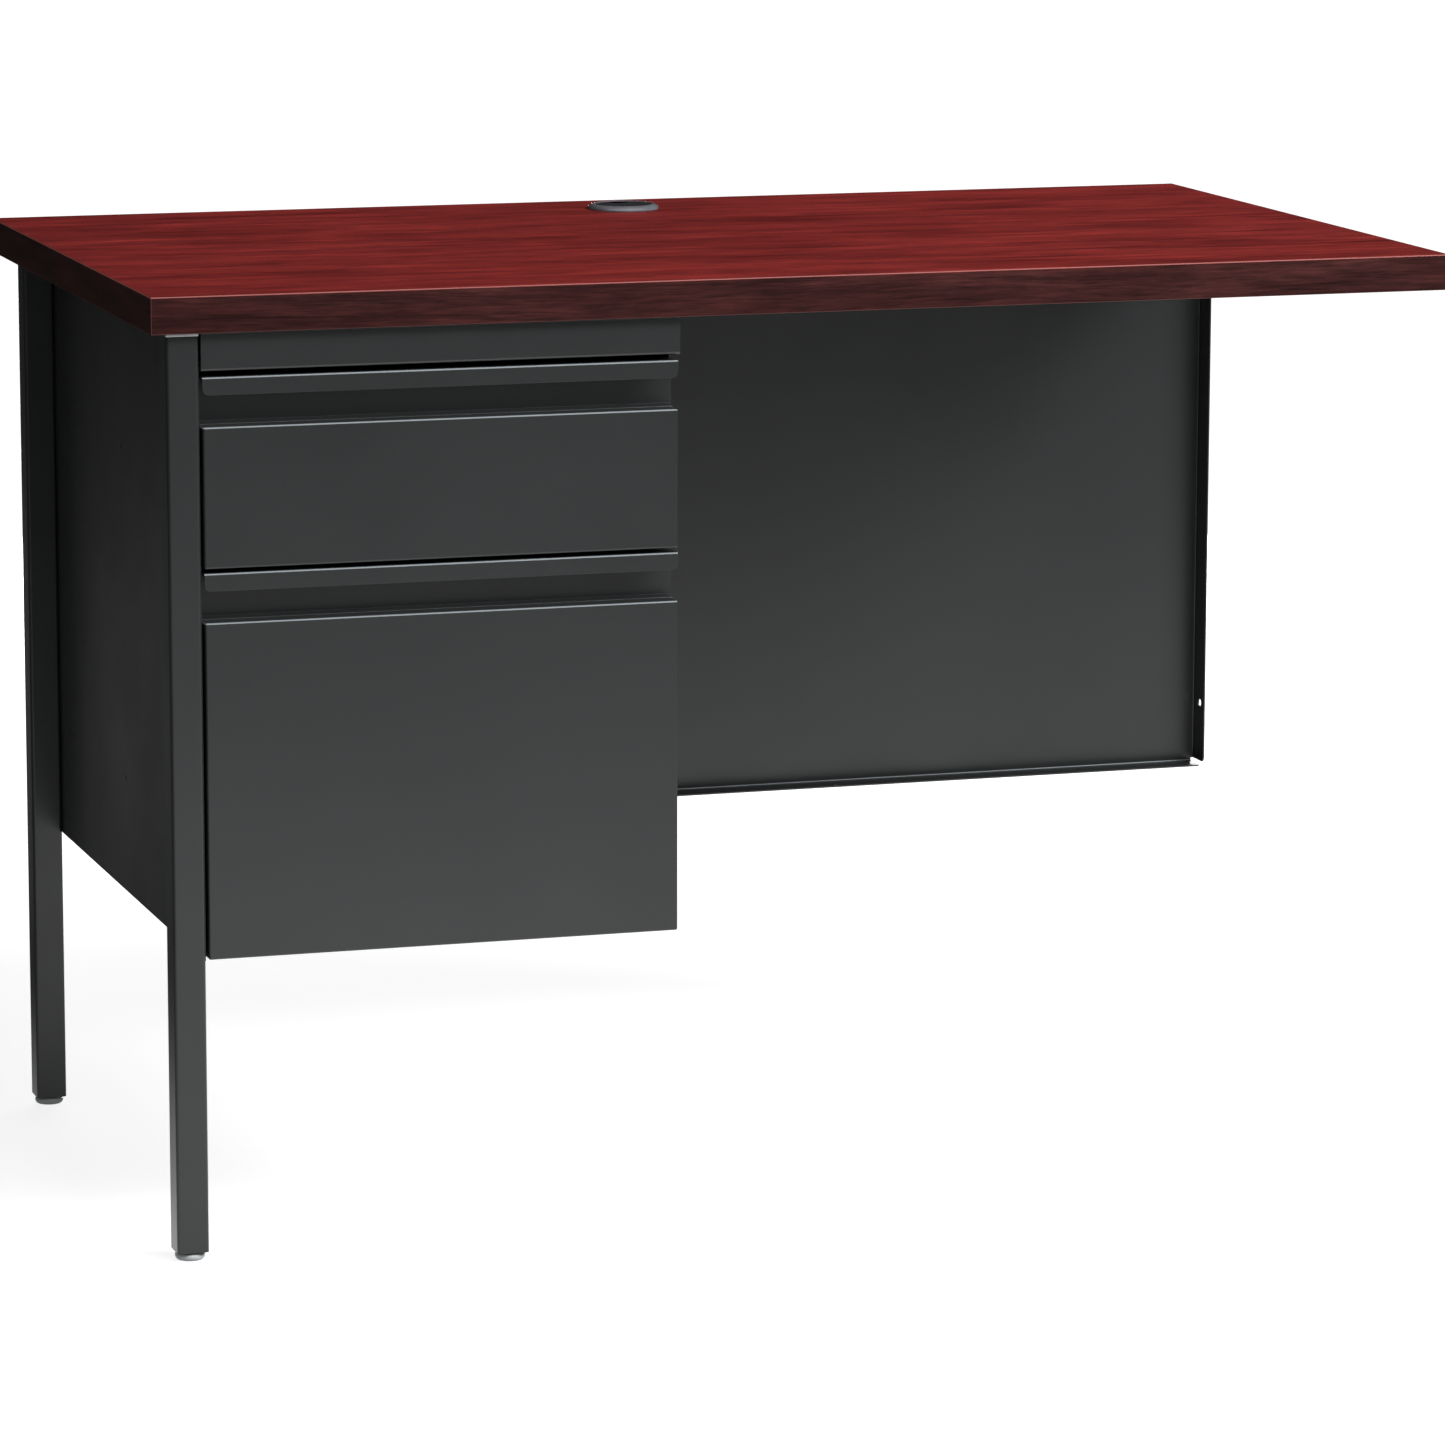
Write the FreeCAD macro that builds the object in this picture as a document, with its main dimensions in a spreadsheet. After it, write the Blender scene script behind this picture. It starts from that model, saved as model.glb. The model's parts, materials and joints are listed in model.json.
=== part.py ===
import FreeCAD, Part
import os
import Sketcher

# Left-hand return of a teacher's desk: a laminate worktop on two square steel legs, with a hanging
# pedestal of two drawers and a folded steel modesty panel that reaches past the right end.
# Frame: millimetres, +X to the right, +Y to the back, +Z up, the drawers facing -Y. The origin is on
# the floor, under the middle of the desk's bounding box.

os.makedirs("parts", exist_ok=True)
doc = FreeCAD.newDocument("DeskReturn")

# ---------------------------------------------------------------- driving dimensions
DRIVING = [
    ("top_width", 1066.8, "worktop, left to right"),
    ("top_depth", 609.6, "worktop, front to back"),
    ("top_thickness", 28.6, "worktop with its laminate"),
    ("desk_height", 755.0, "floor to the worktop's upper face"),
    ("panel_reach", 12.7, "modesty panel past the worktop's right edge"),
    ("laminate", 1.0, "decorative laminate on the upper face"),
    ("laminate_bevel", 0.7, "bevel round the laminate's upper edge"),
    ("backer", 0.8, "balancing sheet under the core"),
    ("band", 1.0, "edge band"),
    ("grommet_setback", 73.5, "grommet centre from the worktop's rear edge"),
    ("grommet_hole", 51.0, "hole through the worktop"),
    ("grommet_flange", 61.0, "rim of the grommet liner"),
    ("grommet_rise", 4.4, "rim above the worktop"),
    ("grommet_bore", 46.0, "inside of the liner's sleeve"),
    ("liner_depth", 22.0, "liner's sleeve below the worktop's upper face"),
    ("leg_tube", 25.4, "square leg tube, across flats"),
    ("leg_wall", 1.6, "leg tube wall"),
    ("leg_corner", 2.6, "outer corner radius of the leg tube"),
    ("leg_side_inset", 12.7, "leg from the worktop's left edge"),
    ("front_inset", 6.35, "leg and drawer fronts from the worktop's front edge"),
    ("rear_inset", 41.3, "rear leg and modesty panel from the worktop's rear edge"),
    ("foot_gap", 7.0, "floor to the bottom of the leg tube"),
    ("sheet", 1.2, "case and modesty panel sheet"),
    ("skin", 1.0, "drawer sheet"),
    ("fold", 2.2, "outer radius of a folded corner"),
    ("case_width", 382.6, "pedestal over its side panels"),
    ("case_drop", 517.4, "pedestal's lower edge under the worktop's upper face"),
    ("side_front", 12.0, "left side panel from the worktop's front edge"),
    ("case_front", 33.0, "front of the case from the worktop's front edge"),
    ("case_back", 542.0, "back of the case from the worktop's front edge"),
    ("case_flange", 19.0, "top flange of the side panels"),
    ("rail_gap", 1.6, "left leg to the top rail"),
    ("rail_width", 381.0, "top rail, left to right"),
    ("rail_drop", 58.5, "top rail's lower edge under the worktop's upper face"),
    ("front_width", 378.5, "drawer fronts, left to right"),
    ("front_gap", 2.5, "left leg to the drawer fronts"),
    ("front_depth", 19.5, "drawer front, face to inner front"),
    ("lip_height", 13.8, "turned-down lip of a pull"),
    ("lip_corner", 5.0, "rounded lower corners of a lip"),
    ("pull_gap", 24.5, "lip to the front below it, the finger gap"),
    ("ledge_upstand", 3.0, "upturned edge at the back of a pull's ledge"),
    ("box_top_drop", 63.0, "top of the box drawer's lip under the worktop's upper face"),
    ("box_height", 147.6, "box drawer, lip top to the lower edge of its front"),
    ("file_top_drop", 214.0, "top of the file drawer's lip under the worktop's upper face"),
    ("file_height", 301.7, "file drawer, lip top to the lower edge of its front"),
    ("box_tray_rise", 12.0, "box tray's bottom above its front's lower edge"),
    ("box_tray_height", 94.0, "box drawer tray sides"),
    ("file_tray_rise", 12.6, "file tray's bottom above its front's lower edge"),
    ("file_tray_height", 205.0, "file drawer tray sides"),
    ("tray_length", 490.0, "drawer trays, front to back"),
    ("slide_width", 12.7, "telescopic slide, side panel to tray"),
    ("slide_height", 45.0, "cabinet member of a slide"),
    ("slide_length", 495.0, "slide members, closed"),
    ("slide_setback", 36.0, "slides from the worktop's front edge"),
    ("slide_sheet", 1.2, "slide members' sheet"),
    ("box_slide_level", 602.0, "middle of the box drawer's slides above the floor"),
    ("file_slide_level", 332.0, "middle of the file drawer's slides above the floor"),
    ("hang_rail_top", 500.0, "hanging-file rails above the floor"),
    ("hang_rail_span", 310.0, "hanging-file rails, centre to centre"),
    ("flange_depth", 25.4, "modesty panel's forward flanges"),
    ("flange_hole", 7.0, "bolt holes in the right flange"),
    ("flange_hole_setback", 10.4, "bolt holes from the flange's front edge"),
    ("flange_hole_low", 293.5, "lower bolt hole above the floor"),
    ("flange_hole_pitch", 381.0, "bolt holes, centre to centre"),
    ("tie_hole_along", 193.0, "cable-tie hole in the bottom flange, right of the desk's middle"),
    ("stud", 8.0, "glide stud"),
    ("stud_clearance", 0.05, "radial play of the stud in its insert"),
    ("foot", 24.0, "glide foot"),
    ("foot_thickness", 5.8, "glide foot, floor to its shoulder"),
]

sheet_object = doc.addObject("Spreadsheet::Sheet", "dims")
for row, (alias, value, note) in enumerate(DRIVING, start=1):
    sheet_object.set(f"A{row}", note)
    sheet_object.set(f"B{row}", str(value))
    sheet_object.setAlias(f"B{row}", alias)
doc.recompute()


class Size:
    """A length that keeps both its value and the spreadsheet formula it comes from."""

    def __init__(self, value, formula):
        self.value = value
        self.formula = formula

    @staticmethod
    def of(other):
        if isinstance(other, Size):
            return other
        return Size(float(other), f"{float(other):.6f}")

    def __add__(self, other):
        other = Size.of(other)
        return Size(self.value + other.value, f"({self.formula} + {other.formula})")

    def __sub__(self, other):
        other = Size.of(other)
        return Size(self.value - other.value, f"({self.formula} - {other.formula})")

    def __mul__(self, factor):
        return Size(self.value * factor, f"({self.formula} * {factor:.6f})")

    def __truediv__(self, divisor):
        return Size(self.value / divisor, f"({self.formula} / {divisor:.6f})")

    def __neg__(self):
        return Size(-self.value, f"(0 - {self.formula})")


d = {alias: Size(sheet_object.get(alias), f"dims.{alias}") for alias, value, note in DRIVING}
ZERO = Size.of(0)

# Places worked out from the driving dimensions.
left = -(d["top_width"] + d["panel_reach"]) / 2
right = left + d["top_width"]
reach = right + d["panel_reach"]
front = -d["top_depth"] / 2
back = front + d["top_depth"]
top = d["desk_height"]
under = top - d["top_thickness"]

leg_left = left + d["leg_side_inset"]
case_left = leg_left + d["leg_tube"]
case_right = case_left + d["case_width"]
inner_left = case_left + d["sheet"]
inner_right = case_right - d["sheet"]
face = front + d["front_inset"]
inner_face = face + d["front_depth"]
case_front = front + d["case_front"]
case_back = front + d["case_back"]
case_bottom = top - d["case_drop"]
panel_back = back - d["rear_inset"]
panel_front = panel_back - d["flange_depth"]
tray_left = inner_left + d["slide_width"]
tray_right = inner_right - d["slide_width"]
tray_front = inner_face + d["skin"]
tray_back = tray_front + d["tray_length"]


# ---------------------------------------------------------------- building helpers
def bind(thing, prop, size):
    thing.setExpression(prop, size.formula)


def place(thing, x, y, z):
    for axis, size in zip("xyz", (x, y, z)):
        bind(thing, f"Placement.Base.{axis}", Size.of(size))


def block(x, y, z):
    """A box between two places along each axis."""
    solid = doc.addObject("Part::Box", "Block")
    for prop, (low, high) in zip(("Length", "Width", "Height"), (x, y, z)):
        bind(solid, prop, Size.of(high) - low)
    place(solid, x[0], y[0], z[0])
    return solid


TURNS = {"x": FreeCAD.Rotation(FreeCAD.Vector(0, 1, 0), 90),
         "y": FreeCAD.Rotation(FreeCAD.Vector(1, 0, 0), -90),
         "z": FreeCAD.Rotation()}


def rod(axis, start, length, radius):
    """A cylinder that starts at a point and runs along +axis."""
    solid = doc.addObject("Part::Cylinder", "Rod")
    bind(solid, "Radius", Size.of(radius))
    bind(solid, "Height", Size.of(length))
    solid.Placement = FreeCAD.Placement(FreeCAD.Vector(), TURNS[axis])
    place(solid, *start)
    return solid


def fuse(*shapes):
    joined = doc.addObject("Part::MultiFuse", "Fuse")
    joined.Shapes = list(shapes)
    joined.Refine = True
    return joined


def group(*shapes):
    """Separate solids kept together in one node."""
    held = doc.addObject("Part::Compound", "Group")
    held.Links = list(shapes)
    return held


def cut(base, *tools):
    result = doc.addObject("Part::Cut", "Cut")
    result.Base = base
    result.Tool = tools[0] if len(tools) == 1 else group(*tools)
    result.Refine = True
    return result


def straight_edge(edge, axis):
    if edge.Curve.TypeId != "Part::GeomLine":
        return False
    direction = edge.tangentAt(edge.FirstParameter)
    return abs(abs(getattr(direction, axis)) - 1) < 1e-6


def find_edges(shape, axis, where):
    """Numbers of the straight edges along axis whose middle lies at the given places."""
    goal = {key: Size.of(spot).value for key, spot in where.items()}
    found = []
    for number, edge in enumerate(shape.Edges, start=1):
        middle = edge.CenterOfMass
        near = all(abs(getattr(middle, key) - spot) < 0.02 for key, spot in goal.items())
        if near and straight_edge(edge, axis):
            found.append(number)
    if not found:
        raise ValueError(f"no edge along {axis} at {goal}")
    return found


def round_edges(base, *folds):
    """Round straight edges. Each fold is (axis, {place}, radius)."""
    doc.recompute()
    rounded = doc.addObject("Part::Fillet", "Round")
    rounded.Base = base
    edges = []
    for axis, where, radius in folds:
        radius = Size.of(radius).value
        edges += [(number, radius, radius) for number in find_edges(base.Shape, axis, where)]
    rounded.Edges = edges
    return rounded


nodes = []


def piece(name, thing):
    """Name a finished sub-part."""
    thing.Label = name
    nodes.append(thing)
    return thing


def origin_plane(body, role):
    return [feature for feature in body.Origin.OriginFeatures if feature.Role == role][0]


def closed_sketch(body, role, outlines):
    """A sketch of closed outlines on one of a body's own planes, every corner tied to the sheet."""
    sketch = body.newObject("Sketcher::SketchObject", "Outline")
    sketch.AttachmentSupport = [(origin_plane(body, role), "")]
    sketch.MapMode = "FlatFace"
    for outline in outlines:
        corners = [(Size.of(a), Size.of(b)) for a, b in outline]
        first = sketch.GeometryCount
        points = [FreeCAD.Vector(a.value, b.value, 0) for a, b in corners]
        for start, end in zip(points, points[1:] + points[:1]):
            sketch.addGeometry(Part.LineSegment(start, end))
        count = len(corners)
        for i in range(count):
            sketch.addConstraint(Sketcher.Constraint("Coincident", first + i, 2, first + (i + 1) % count, 1))
        for i, corner in enumerate(corners):
            for kind, size in zip(("DistanceX", "DistanceY"), corner):
                number = sketch.addConstraint(Sketcher.Constraint(kind, -1, 1, first + i, 1, size.value))
                bind(sketch, f"Constraints[{number}]", size)
    return sketch


def extrusion(role, outlines, start, length):
    """A padded body. XY outlines rise along +Z, YZ outlines run along +X, XZ outlines run along +Y."""
    body = doc.addObject("PartDesign::Body", "Body")
    pad = body.newObject("PartDesign::Pad", "Run")
    pad.Profile = closed_sketch(body, role, outlines)
    bind(pad, "Length", Size.of(length))
    pad.Reversed = role == "XZ_Plane"
    body.Tip = pad
    along = {"XY_Plane": "z", "YZ_Plane": "x", "XZ_Plane": "y"}[role]
    bind(body, f"Placement.Base.{along}", Size.of(start))
    return body


def body_fillet(body, radius, axis, wheres):
    """Round straight edges of a body, found at the places given in its own frame."""
    doc.recompute()
    base = body.Tip
    numbers = [number for where in wheres for number in find_edges(base.Shape, axis, where)]
    fillet = body.newObject("PartDesign::Fillet", "Round")
    fillet.Base = (base, [f"Edge{number}" for number in numbers])
    bind(fillet, "Radius", Size.of(radius))
    body.Tip = fillet
    doc.recompute()
    return body


def turned(outline, x, y, z):
    """A body turned about its own Z axis from an outline of (radius, height) corners."""
    body = doc.addObject("PartDesign::Body", "Body")
    revolution = body.newObject("PartDesign::Revolution", "Turn")
    sketch = closed_sketch(body, "XZ_Plane", [outline])
    revolution.Profile = sketch
    revolution.ReferenceAxis = (sketch, ["V_Axis"])
    revolution.Angle = 360
    body.Tip = revolution
    place(body, x, y, z)
    return body


# ---------------------------------------------------------------- worktop
grommet_x = left + d["top_width"] / 2
grommet_y = back - d["grommet_setback"]
core_top = top - d["laminate"]
core_bottom = under + d["backer"]


def worktop_hole(low, high):
    return rod("z", (grommet_x, grommet_y, low - 5), high - low + 10, d["grommet_hole"] / 2)


core = block((left + d["band"], right - d["band"]), (front + d["band"], back - d["band"]),
             (core_bottom, core_top))
piece("worktop_core", cut(core, worktop_hole(core_bottom, core_top)))

laminate = cut(block((left, right), (front, back), (core_top, top)), worktop_hole(core_top, top))
doc.recompute()
bevelled = doc.addObject("Part::Chamfer", "Bevel")
bevelled.Base = laminate
rim = [("x", {"y": front, "z": top}), ("x", {"y": back, "z": top}),
       ("y", {"x": left, "z": top}), ("y", {"x": right, "z": top})]
bevel = d["laminate_bevel"].value
bevelled.Edges = [(number, bevel, bevel) for axis, where in rim
                  for number in find_edges(laminate.Shape, axis, where)]
piece("worktop_laminate", bevelled)

backer = block((left + d["band"], right - d["band"]), (front + d["band"], back - d["band"]),
               (under, core_bottom))
piece("worktop_backer", cut(backer, worktop_hole(under, core_bottom)))

piece("edge_band_front", block((left, right), (front, front + d["band"]), (under, core_top)))
piece("edge_band_rear", block((left, right), (back - d["band"], back), (under, core_top)))
side_band = (front + d["band"], back - d["band"])
piece("edge_band_left", block((left, left + d["band"]), side_band, (under, core_top)))
piece("edge_band_right", block((right - d["band"], right), side_band, (under, core_top)))

# ---------------------------------------------------------------- cable grommet
sleeve = d["grommet_hole"] / 2 - 0.2
bore = d["grommet_bore"] / 2
rim_radius = d["grommet_flange"] / 2
SHELF_DROP = 2.6
shelf = d["grommet_rise"] - SHELF_DROP
SEAT = 1.2
RIM_SLOPE = 4.2
RIM_EDGE = 1.2
liner_outline = [(bore, -d["liner_depth"]), (sleeve, -d["liner_depth"]), (sleeve, 0), (rim_radius, 0),
                 (rim_radius, RIM_EDGE), (rim_radius - RIM_SLOPE, d["grommet_rise"]),
                 (bore + SEAT, d["grommet_rise"]), (bore + SEAT, shelf), (bore, shelf - SEAT)]
piece("grommet_liner", turned(liner_outline, grommet_x, grommet_y, top))

CAP_PLAY = 0.4
CAP_SINK = 0.5
CAP_BEVEL = 0.6
cap_radius = bore + SEAT - CAP_PLAY
cap_top = d["grommet_rise"] - CAP_SINK
cap_outline = [(0, shelf + CAP_PLAY), (cap_radius, shelf + CAP_PLAY), (cap_radius, cap_top - CAP_BEVEL),
               (cap_radius - CAP_BEVEL, cap_top), (0, cap_top)]
cap_disc = turned(cap_outline, grommet_x, grommet_y, top)
NOTCH_WIDTH = 17
NOTCH_DEPTH = 14
NOTCH_ROUND = 7.5
notch_front = grommet_y + bore - NOTCH_DEPTH
notch_sides = (grommet_x - NOTCH_WIDTH / 2, grommet_x + NOTCH_WIDTH / 2)
notch = block(notch_sides, (notch_front, grommet_y + bore + 4), (top - 5, top + 8))
notch_rounded = round_edges(notch, *[("z", {"x": side, "y": notch_front}, NOTCH_ROUND) for side in notch_sides])
piece("grommet_cap", cut(cap_disc, notch_rounded))

# ---------------------------------------------------------------- legs and levelling glides
leg_bottom = d["foot_gap"]
PLATE = 2.5
PLATE_REACH = 44
INSERT_HEIGHT = 30
INSERT_PLAY = 0.2
INSERT_CORNER = 1.4
STUD_LENGTH = 28
leg_top = under - PLATE
leg_starts = {"front": face, "rear": panel_back - d["leg_tube"]}


def square(x, y, side):
    return [(x, y), (x + side, y), (x + side, y + side), (x, y + side)]


def corners_of(x, y, side):
    return [{"x": a, "y": b} for a in (x, x + side) for b in (y, y + side)]


for end, leg_y in leg_starts.items():
    wall = d["leg_wall"]
    hollow_side = d["leg_tube"] - wall * 2
    tube = extrusion("XY_Plane", [square(leg_left, leg_y, d["leg_tube"]),
                                  square(leg_left + wall, leg_y + wall, hollow_side)],
                     leg_bottom, leg_top - leg_bottom)
    body_fillet(tube, d["leg_corner"], "z", corners_of(leg_left, leg_y, d["leg_tube"]))
    body_fillet(tube, d["leg_corner"] - wall, "z", corners_of(leg_left + wall, leg_y + wall, hollow_side))
    piece(f"{end}_left_leg", tube)

    plate_y = leg_y if end == "front" else leg_y - PLATE_REACH
    piece(f"{end}_leg_plate", block((leg_left, leg_left + d["leg_tube"]),
                                    (plate_y, plate_y + d["leg_tube"] + PLATE_REACH), (leg_top, under)))

    centre_x = leg_left + d["leg_tube"] / 2
    centre_y = leg_y + d["leg_tube"] / 2
    plug_side = hollow_side - INSERT_PLAY
    plug = block((centre_x - plug_side / 2, centre_x + plug_side / 2),
                 (centre_y - plug_side / 2, centre_y + plug_side / 2),
                 (leg_bottom, leg_bottom + INSERT_HEIGHT))
    plug_corners = corners_of(centre_x - plug_side / 2, centre_y - plug_side / 2, plug_side)
    plug_edges = [("z", corner, INSERT_CORNER) for corner in plug_corners]
    plug = round_edges(plug, *plug_edges)
    stud_hole = rod("z", (centre_x, centre_y, leg_bottom - 2), INSERT_HEIGHT + 4,
                    d["stud"] / 2 + d["stud_clearance"])
    piece(f"{end}_leg_insert", cut(plug, stud_hole))

    foot_radius = d["foot"] / 2
    foot_high = d["foot_thickness"]
    foot_outline = [(0, 0), (foot_radius - 2.5, 0), (foot_radius - 1.2, 0.6), (foot_radius - 0.3, 1.8),
                    (foot_radius, 3.2), (foot_radius - 0.6, foot_high - 0.8), (foot_radius - 2.0, foot_high),
                    (0, foot_high)]
    piece(f"{end}_glide_foot", turned(foot_outline, centre_x, centre_y, 0))
    stud_radius = d["stud"] / 2
    stud_outline = [(0, 0), (stud_radius, 0), (stud_radius, STUD_LENGTH - 1), (stud_radius - 1, STUD_LENGTH),
                    (0, STUD_LENGTH)]
    piece(f"{end}_glide_stud", turned(stud_outline, centre_x, centre_y, foot_high))

# ---------------------------------------------------------------- pedestal case
SIDE_FLANGE_FRONT = 47
SIDE_FLANGE_BACK = 520
flange_run = (front + SIDE_FLANGE_FRONT, front + SIDE_FLANGE_BACK)
flange_level = (under - d["sheet"], under)

left_web = block((case_left, inner_left), (front + d["side_front"], panel_back), (case_bottom, under))
left_flange = block((case_left, inner_left + d["case_flange"]), flange_run, flange_level)
piece("pedestal_left_side", round_edges(
    fuse(left_web, left_flange),
    ("y", {"x": inner_left, "z": under - d["sheet"]}, d["fold"] - d["sheet"])))

REAR_FLANGE = 15
right_web = block((inner_right, case_right), (case_front, case_back - d["sheet"]), (case_bottom, under))
right_flange = block((inner_right - d["case_flange"], case_right), flange_run, flange_level)
right_rear = block((inner_right - REAR_FLANGE, case_right),
                   (case_back - d["sheet"] * 2, case_back - d["sheet"]),
                   (case_bottom, under - d["sheet"] * 2))
piece("pedestal_right_side", round_edges(
    fuse(right_web, right_flange, right_rear),
    ("y", {"x": inner_right, "z": under - d["sheet"]}, d["fold"] - d["sheet"])))

BACK_FLANGE = 10
BACK_FLANGE_LIFT = 20
back_sheet = block((inner_left, case_right), (case_back - d["sheet"], case_back), (case_bottom, under))
back_flange = block((inner_left, inner_left + d["sheet"]), (case_back - BACK_FLANGE, case_back),
                    (case_bottom + BACK_FLANGE_LIFT, under - d["sheet"] * 2))
piece("pedestal_back", fuse(back_sheet, back_flange))

PAN_FLANGE = 12
pan_right = inner_right
pan_back = case_back - d["sheet"] * 2
pan = cut(block((inner_left, pan_right), (case_front, pan_back), (case_bottom, case_bottom + PAN_FLANGE)),
          block((inner_left + d["sheet"], pan_right - d["sheet"]),
                (case_front + d["sheet"], pan_back - d["sheet"]),
                (case_bottom + d["sheet"], case_bottom + PAN_FLANGE + 5)))
pan_folds = [("y", {"x": inner_left, "z": case_bottom}, d["fold"]),
             ("y", {"x": pan_right, "z": case_bottom}, d["fold"]),
             ("x", {"y": case_front, "z": case_bottom}, d["fold"])]
piece("pedestal_bottom_pan", round_edges(pan, *pan_folds))

# Top rail: an apron with a flange under the worktop and a rounded return along its lower edge.
rail_left = case_left + d["rail_gap"]
rail_bottom = top - d["rail_drop"]
s = d["sheet"]
RETURN_DEPTH = 12
UPSTAND = 6
rail_outline = [(face, rail_bottom), (face + RETURN_DEPTH, rail_bottom),
                (face + RETURN_DEPTH, rail_bottom + UPSTAND), (face + RETURN_DEPTH - s, rail_bottom + UPSTAND),
                (face + RETURN_DEPTH - s, rail_bottom + s), (face + s, rail_bottom + s),
                (face + s, under - s), (case_front, under - s), (case_front, under), (face, under)]
rail = extrusion("YZ_Plane", [rail_outline], rail_left, d["rail_width"])
body_fillet(rail, d["fold"], "x", [{"y": face, "z": rail_bottom}, {"y": face, "z": under},
                                   {"y": face + RETURN_DEPTH, "z": rail_bottom}])
body_fillet(rail, d["fold"] - s, "x", [{"y": face + s, "z": rail_bottom + s}, {"y": face + s, "z": under - s},
                                       {"y": face + RETURN_DEPTH - s, "z": rail_bottom + s}])
piece("top_rail", rail)

# Mid rail between the drawers, and the angle that joins the side panels at the top rear.
MID_RAIL_LOW = 534
MID_RAIL_HIGH = 553
MID_RAIL_DEPTH = 22
mid_outline = [(case_front, MID_RAIL_LOW), (case_front + MID_RAIL_DEPTH, MID_RAIL_LOW),
               (case_front + MID_RAIL_DEPTH, s + MID_RAIL_LOW), (case_front + s, s + MID_RAIL_LOW),
               (case_front + s, -s + MID_RAIL_HIGH), (case_front + MID_RAIL_DEPTH, -s + MID_RAIL_HIGH),
               (case_front + MID_RAIL_DEPTH, MID_RAIL_HIGH), (case_front, MID_RAIL_HIGH)]
mid_rail = extrusion("YZ_Plane", [mid_outline], inner_left, inner_right - inner_left)
body_fillet(mid_rail, d["fold"], "x", [{"y": case_front, "z": level} for level in (MID_RAIL_LOW, MID_RAIL_HIGH)])
piece("mid_rail", mid_rail)

STRETCHER_DROP = 26
STRETCHER_DEPTH = 18
stretcher_back = case_back - s * 2
stretcher_front = stretcher_back - STRETCHER_DEPTH
stretcher_outline = [(stretcher_front, under - s), (stretcher_back - s, under - s),
                     (stretcher_back - s, under - STRETCHER_DROP), (stretcher_back, under - STRETCHER_DROP),
                     (stretcher_back, under), (stretcher_front, under)]
stretcher = extrusion("YZ_Plane", [stretcher_outline], inner_left + s, inner_right - inner_left - s)
body_fillet(stretcher, d["fold"], "x", [{"y": stretcher_back, "z": under}])
piece("rear_stretcher", stretcher)

# ---------------------------------------------------------------- drawers
front_left = case_left + d["front_gap"]
front_right = front_left + d["front_width"]
k = d["skin"]
FACE_ROUND = 1.6
HEM = 9


def drawer_face(name, face_bottom, face_top):
    """The outer skin of a drawer front: a shallow tray with a ledge on top and an upturned edge."""
    shell = cut(block((front_left, front_right), (face, inner_face), (face_bottom, face_top)),
                block((front_left + k, front_right - k), (face + k, inner_face + 5),
                      (face_bottom + k, face_top - k)))
    upstand = block((front_left, front_right), (inner_face - k, inner_face),
                    (face_top - k, face_top + d["ledge_upstand"]))
    skin = fuse(shell, upstand)
    folds = [("x", {"y": face, "z": face_top}, FACE_ROUND), ("x", {"y": face, "z": face_bottom}, FACE_ROUND),
             ("z", {"x": front_left, "y": face}, FACE_ROUND), ("z", {"x": front_right, "y": face}, FACE_ROUND)]
    return piece(name, round_edges(skin, *folds))


def inner_front(name, bottom, lip_top):
    """The inner sheet of a drawer front. Its head folds forward as a roof and down as the pull's lip."""
    lip_bottom = lip_top - d["lip_height"]
    outline = [(inner_face, bottom), (inner_face + k, bottom), (inner_face + k, lip_top), (face, lip_top),
               (face, lip_bottom), (face + k, lip_bottom), (face + k, lip_top - k), (inner_face, lip_top - k)]
    body = extrusion("YZ_Plane", [outline], front_left, d["front_width"])
    body_fillet(body, FACE_ROUND, "x", [{"y": face, "z": lip_top}, {"y": inner_face + k, "z": lip_top}])
    body_fillet(body, Size.of(FACE_ROUND) - k, "x", [{"y": face + k, "z": lip_top - k},
                                                      {"y": inner_face, "z": lip_top - k}])
    ends = [{"x": ZERO, "z": lip_bottom}, {"x": d["front_width"], "z": lip_bottom}]
    body_fillet(body, d["lip_corner"], "y", ends)
    return piece(name, body)


def tray(name, bottom, height):
    """Bottom and both sides of a drawer, folded from one sheet."""
    high = bottom + height
    outline = [(tray_left, bottom), (tray_right, bottom), (tray_right, high), (tray_right - k, high),
               (tray_right - k, bottom + k), (tray_left + k, bottom + k), (tray_left + k, high),
               (tray_left, high)]
    body = extrusion("XZ_Plane", [outline], tray_front, d["tray_length"])
    body_fillet(body, d["fold"], "y", [{"x": tray_left, "z": bottom}, {"x": tray_right, "z": bottom}])
    body_fillet(body, d["fold"] - k, "y", [{"x": tray_left + k, "z": bottom + k},
                                           {"x": tray_right - k, "z": bottom + k}])
    return piece(name, body)


def drawer_back(name, bottom, high):
    """The back wall of a tray, with a folded top edge."""
    wall = block((tray_left + k, tray_right - k), (tray_back - k, tray_back), (bottom + k, high))
    hem = block((tray_left + k, tray_right - k), (tray_back - HEM, tray_back), (high - k, high))
    square_foot = fuse(wall, hem)
    folds = [("x", {"y": tray_back, "z": high}, FACE_ROUND)]
    relief = d["fold"] - k
    folds += [("y", {"x": x, "z": bottom + k}, relief + 0.2) for x in (tray_left + k, tray_right - k)]
    return piece(name, round_edges(square_foot, *folds))


box_lip_top = top - d["box_top_drop"]
box_bottom = box_lip_top - d["box_height"]
box_face_top = box_lip_top - d["lip_height"] - d["pull_gap"]
file_lip_top = top - d["file_top_drop"]
file_bottom = file_lip_top - d["file_height"]
file_face_top = file_lip_top - d["lip_height"] - d["pull_gap"]
box_floor = box_bottom + d["box_tray_rise"]
file_floor = file_bottom + d["file_tray_rise"]
box_high = box_floor + d["box_tray_height"]

drawer_face("box_drawer_face", box_bottom, box_face_top)
inner_front("box_drawer_inner_front", box_bottom + 2, box_lip_top)
tray("box_drawer_tray", box_floor, d["box_tray_height"])
drawer_back("box_drawer_back", box_floor, box_high)

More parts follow.
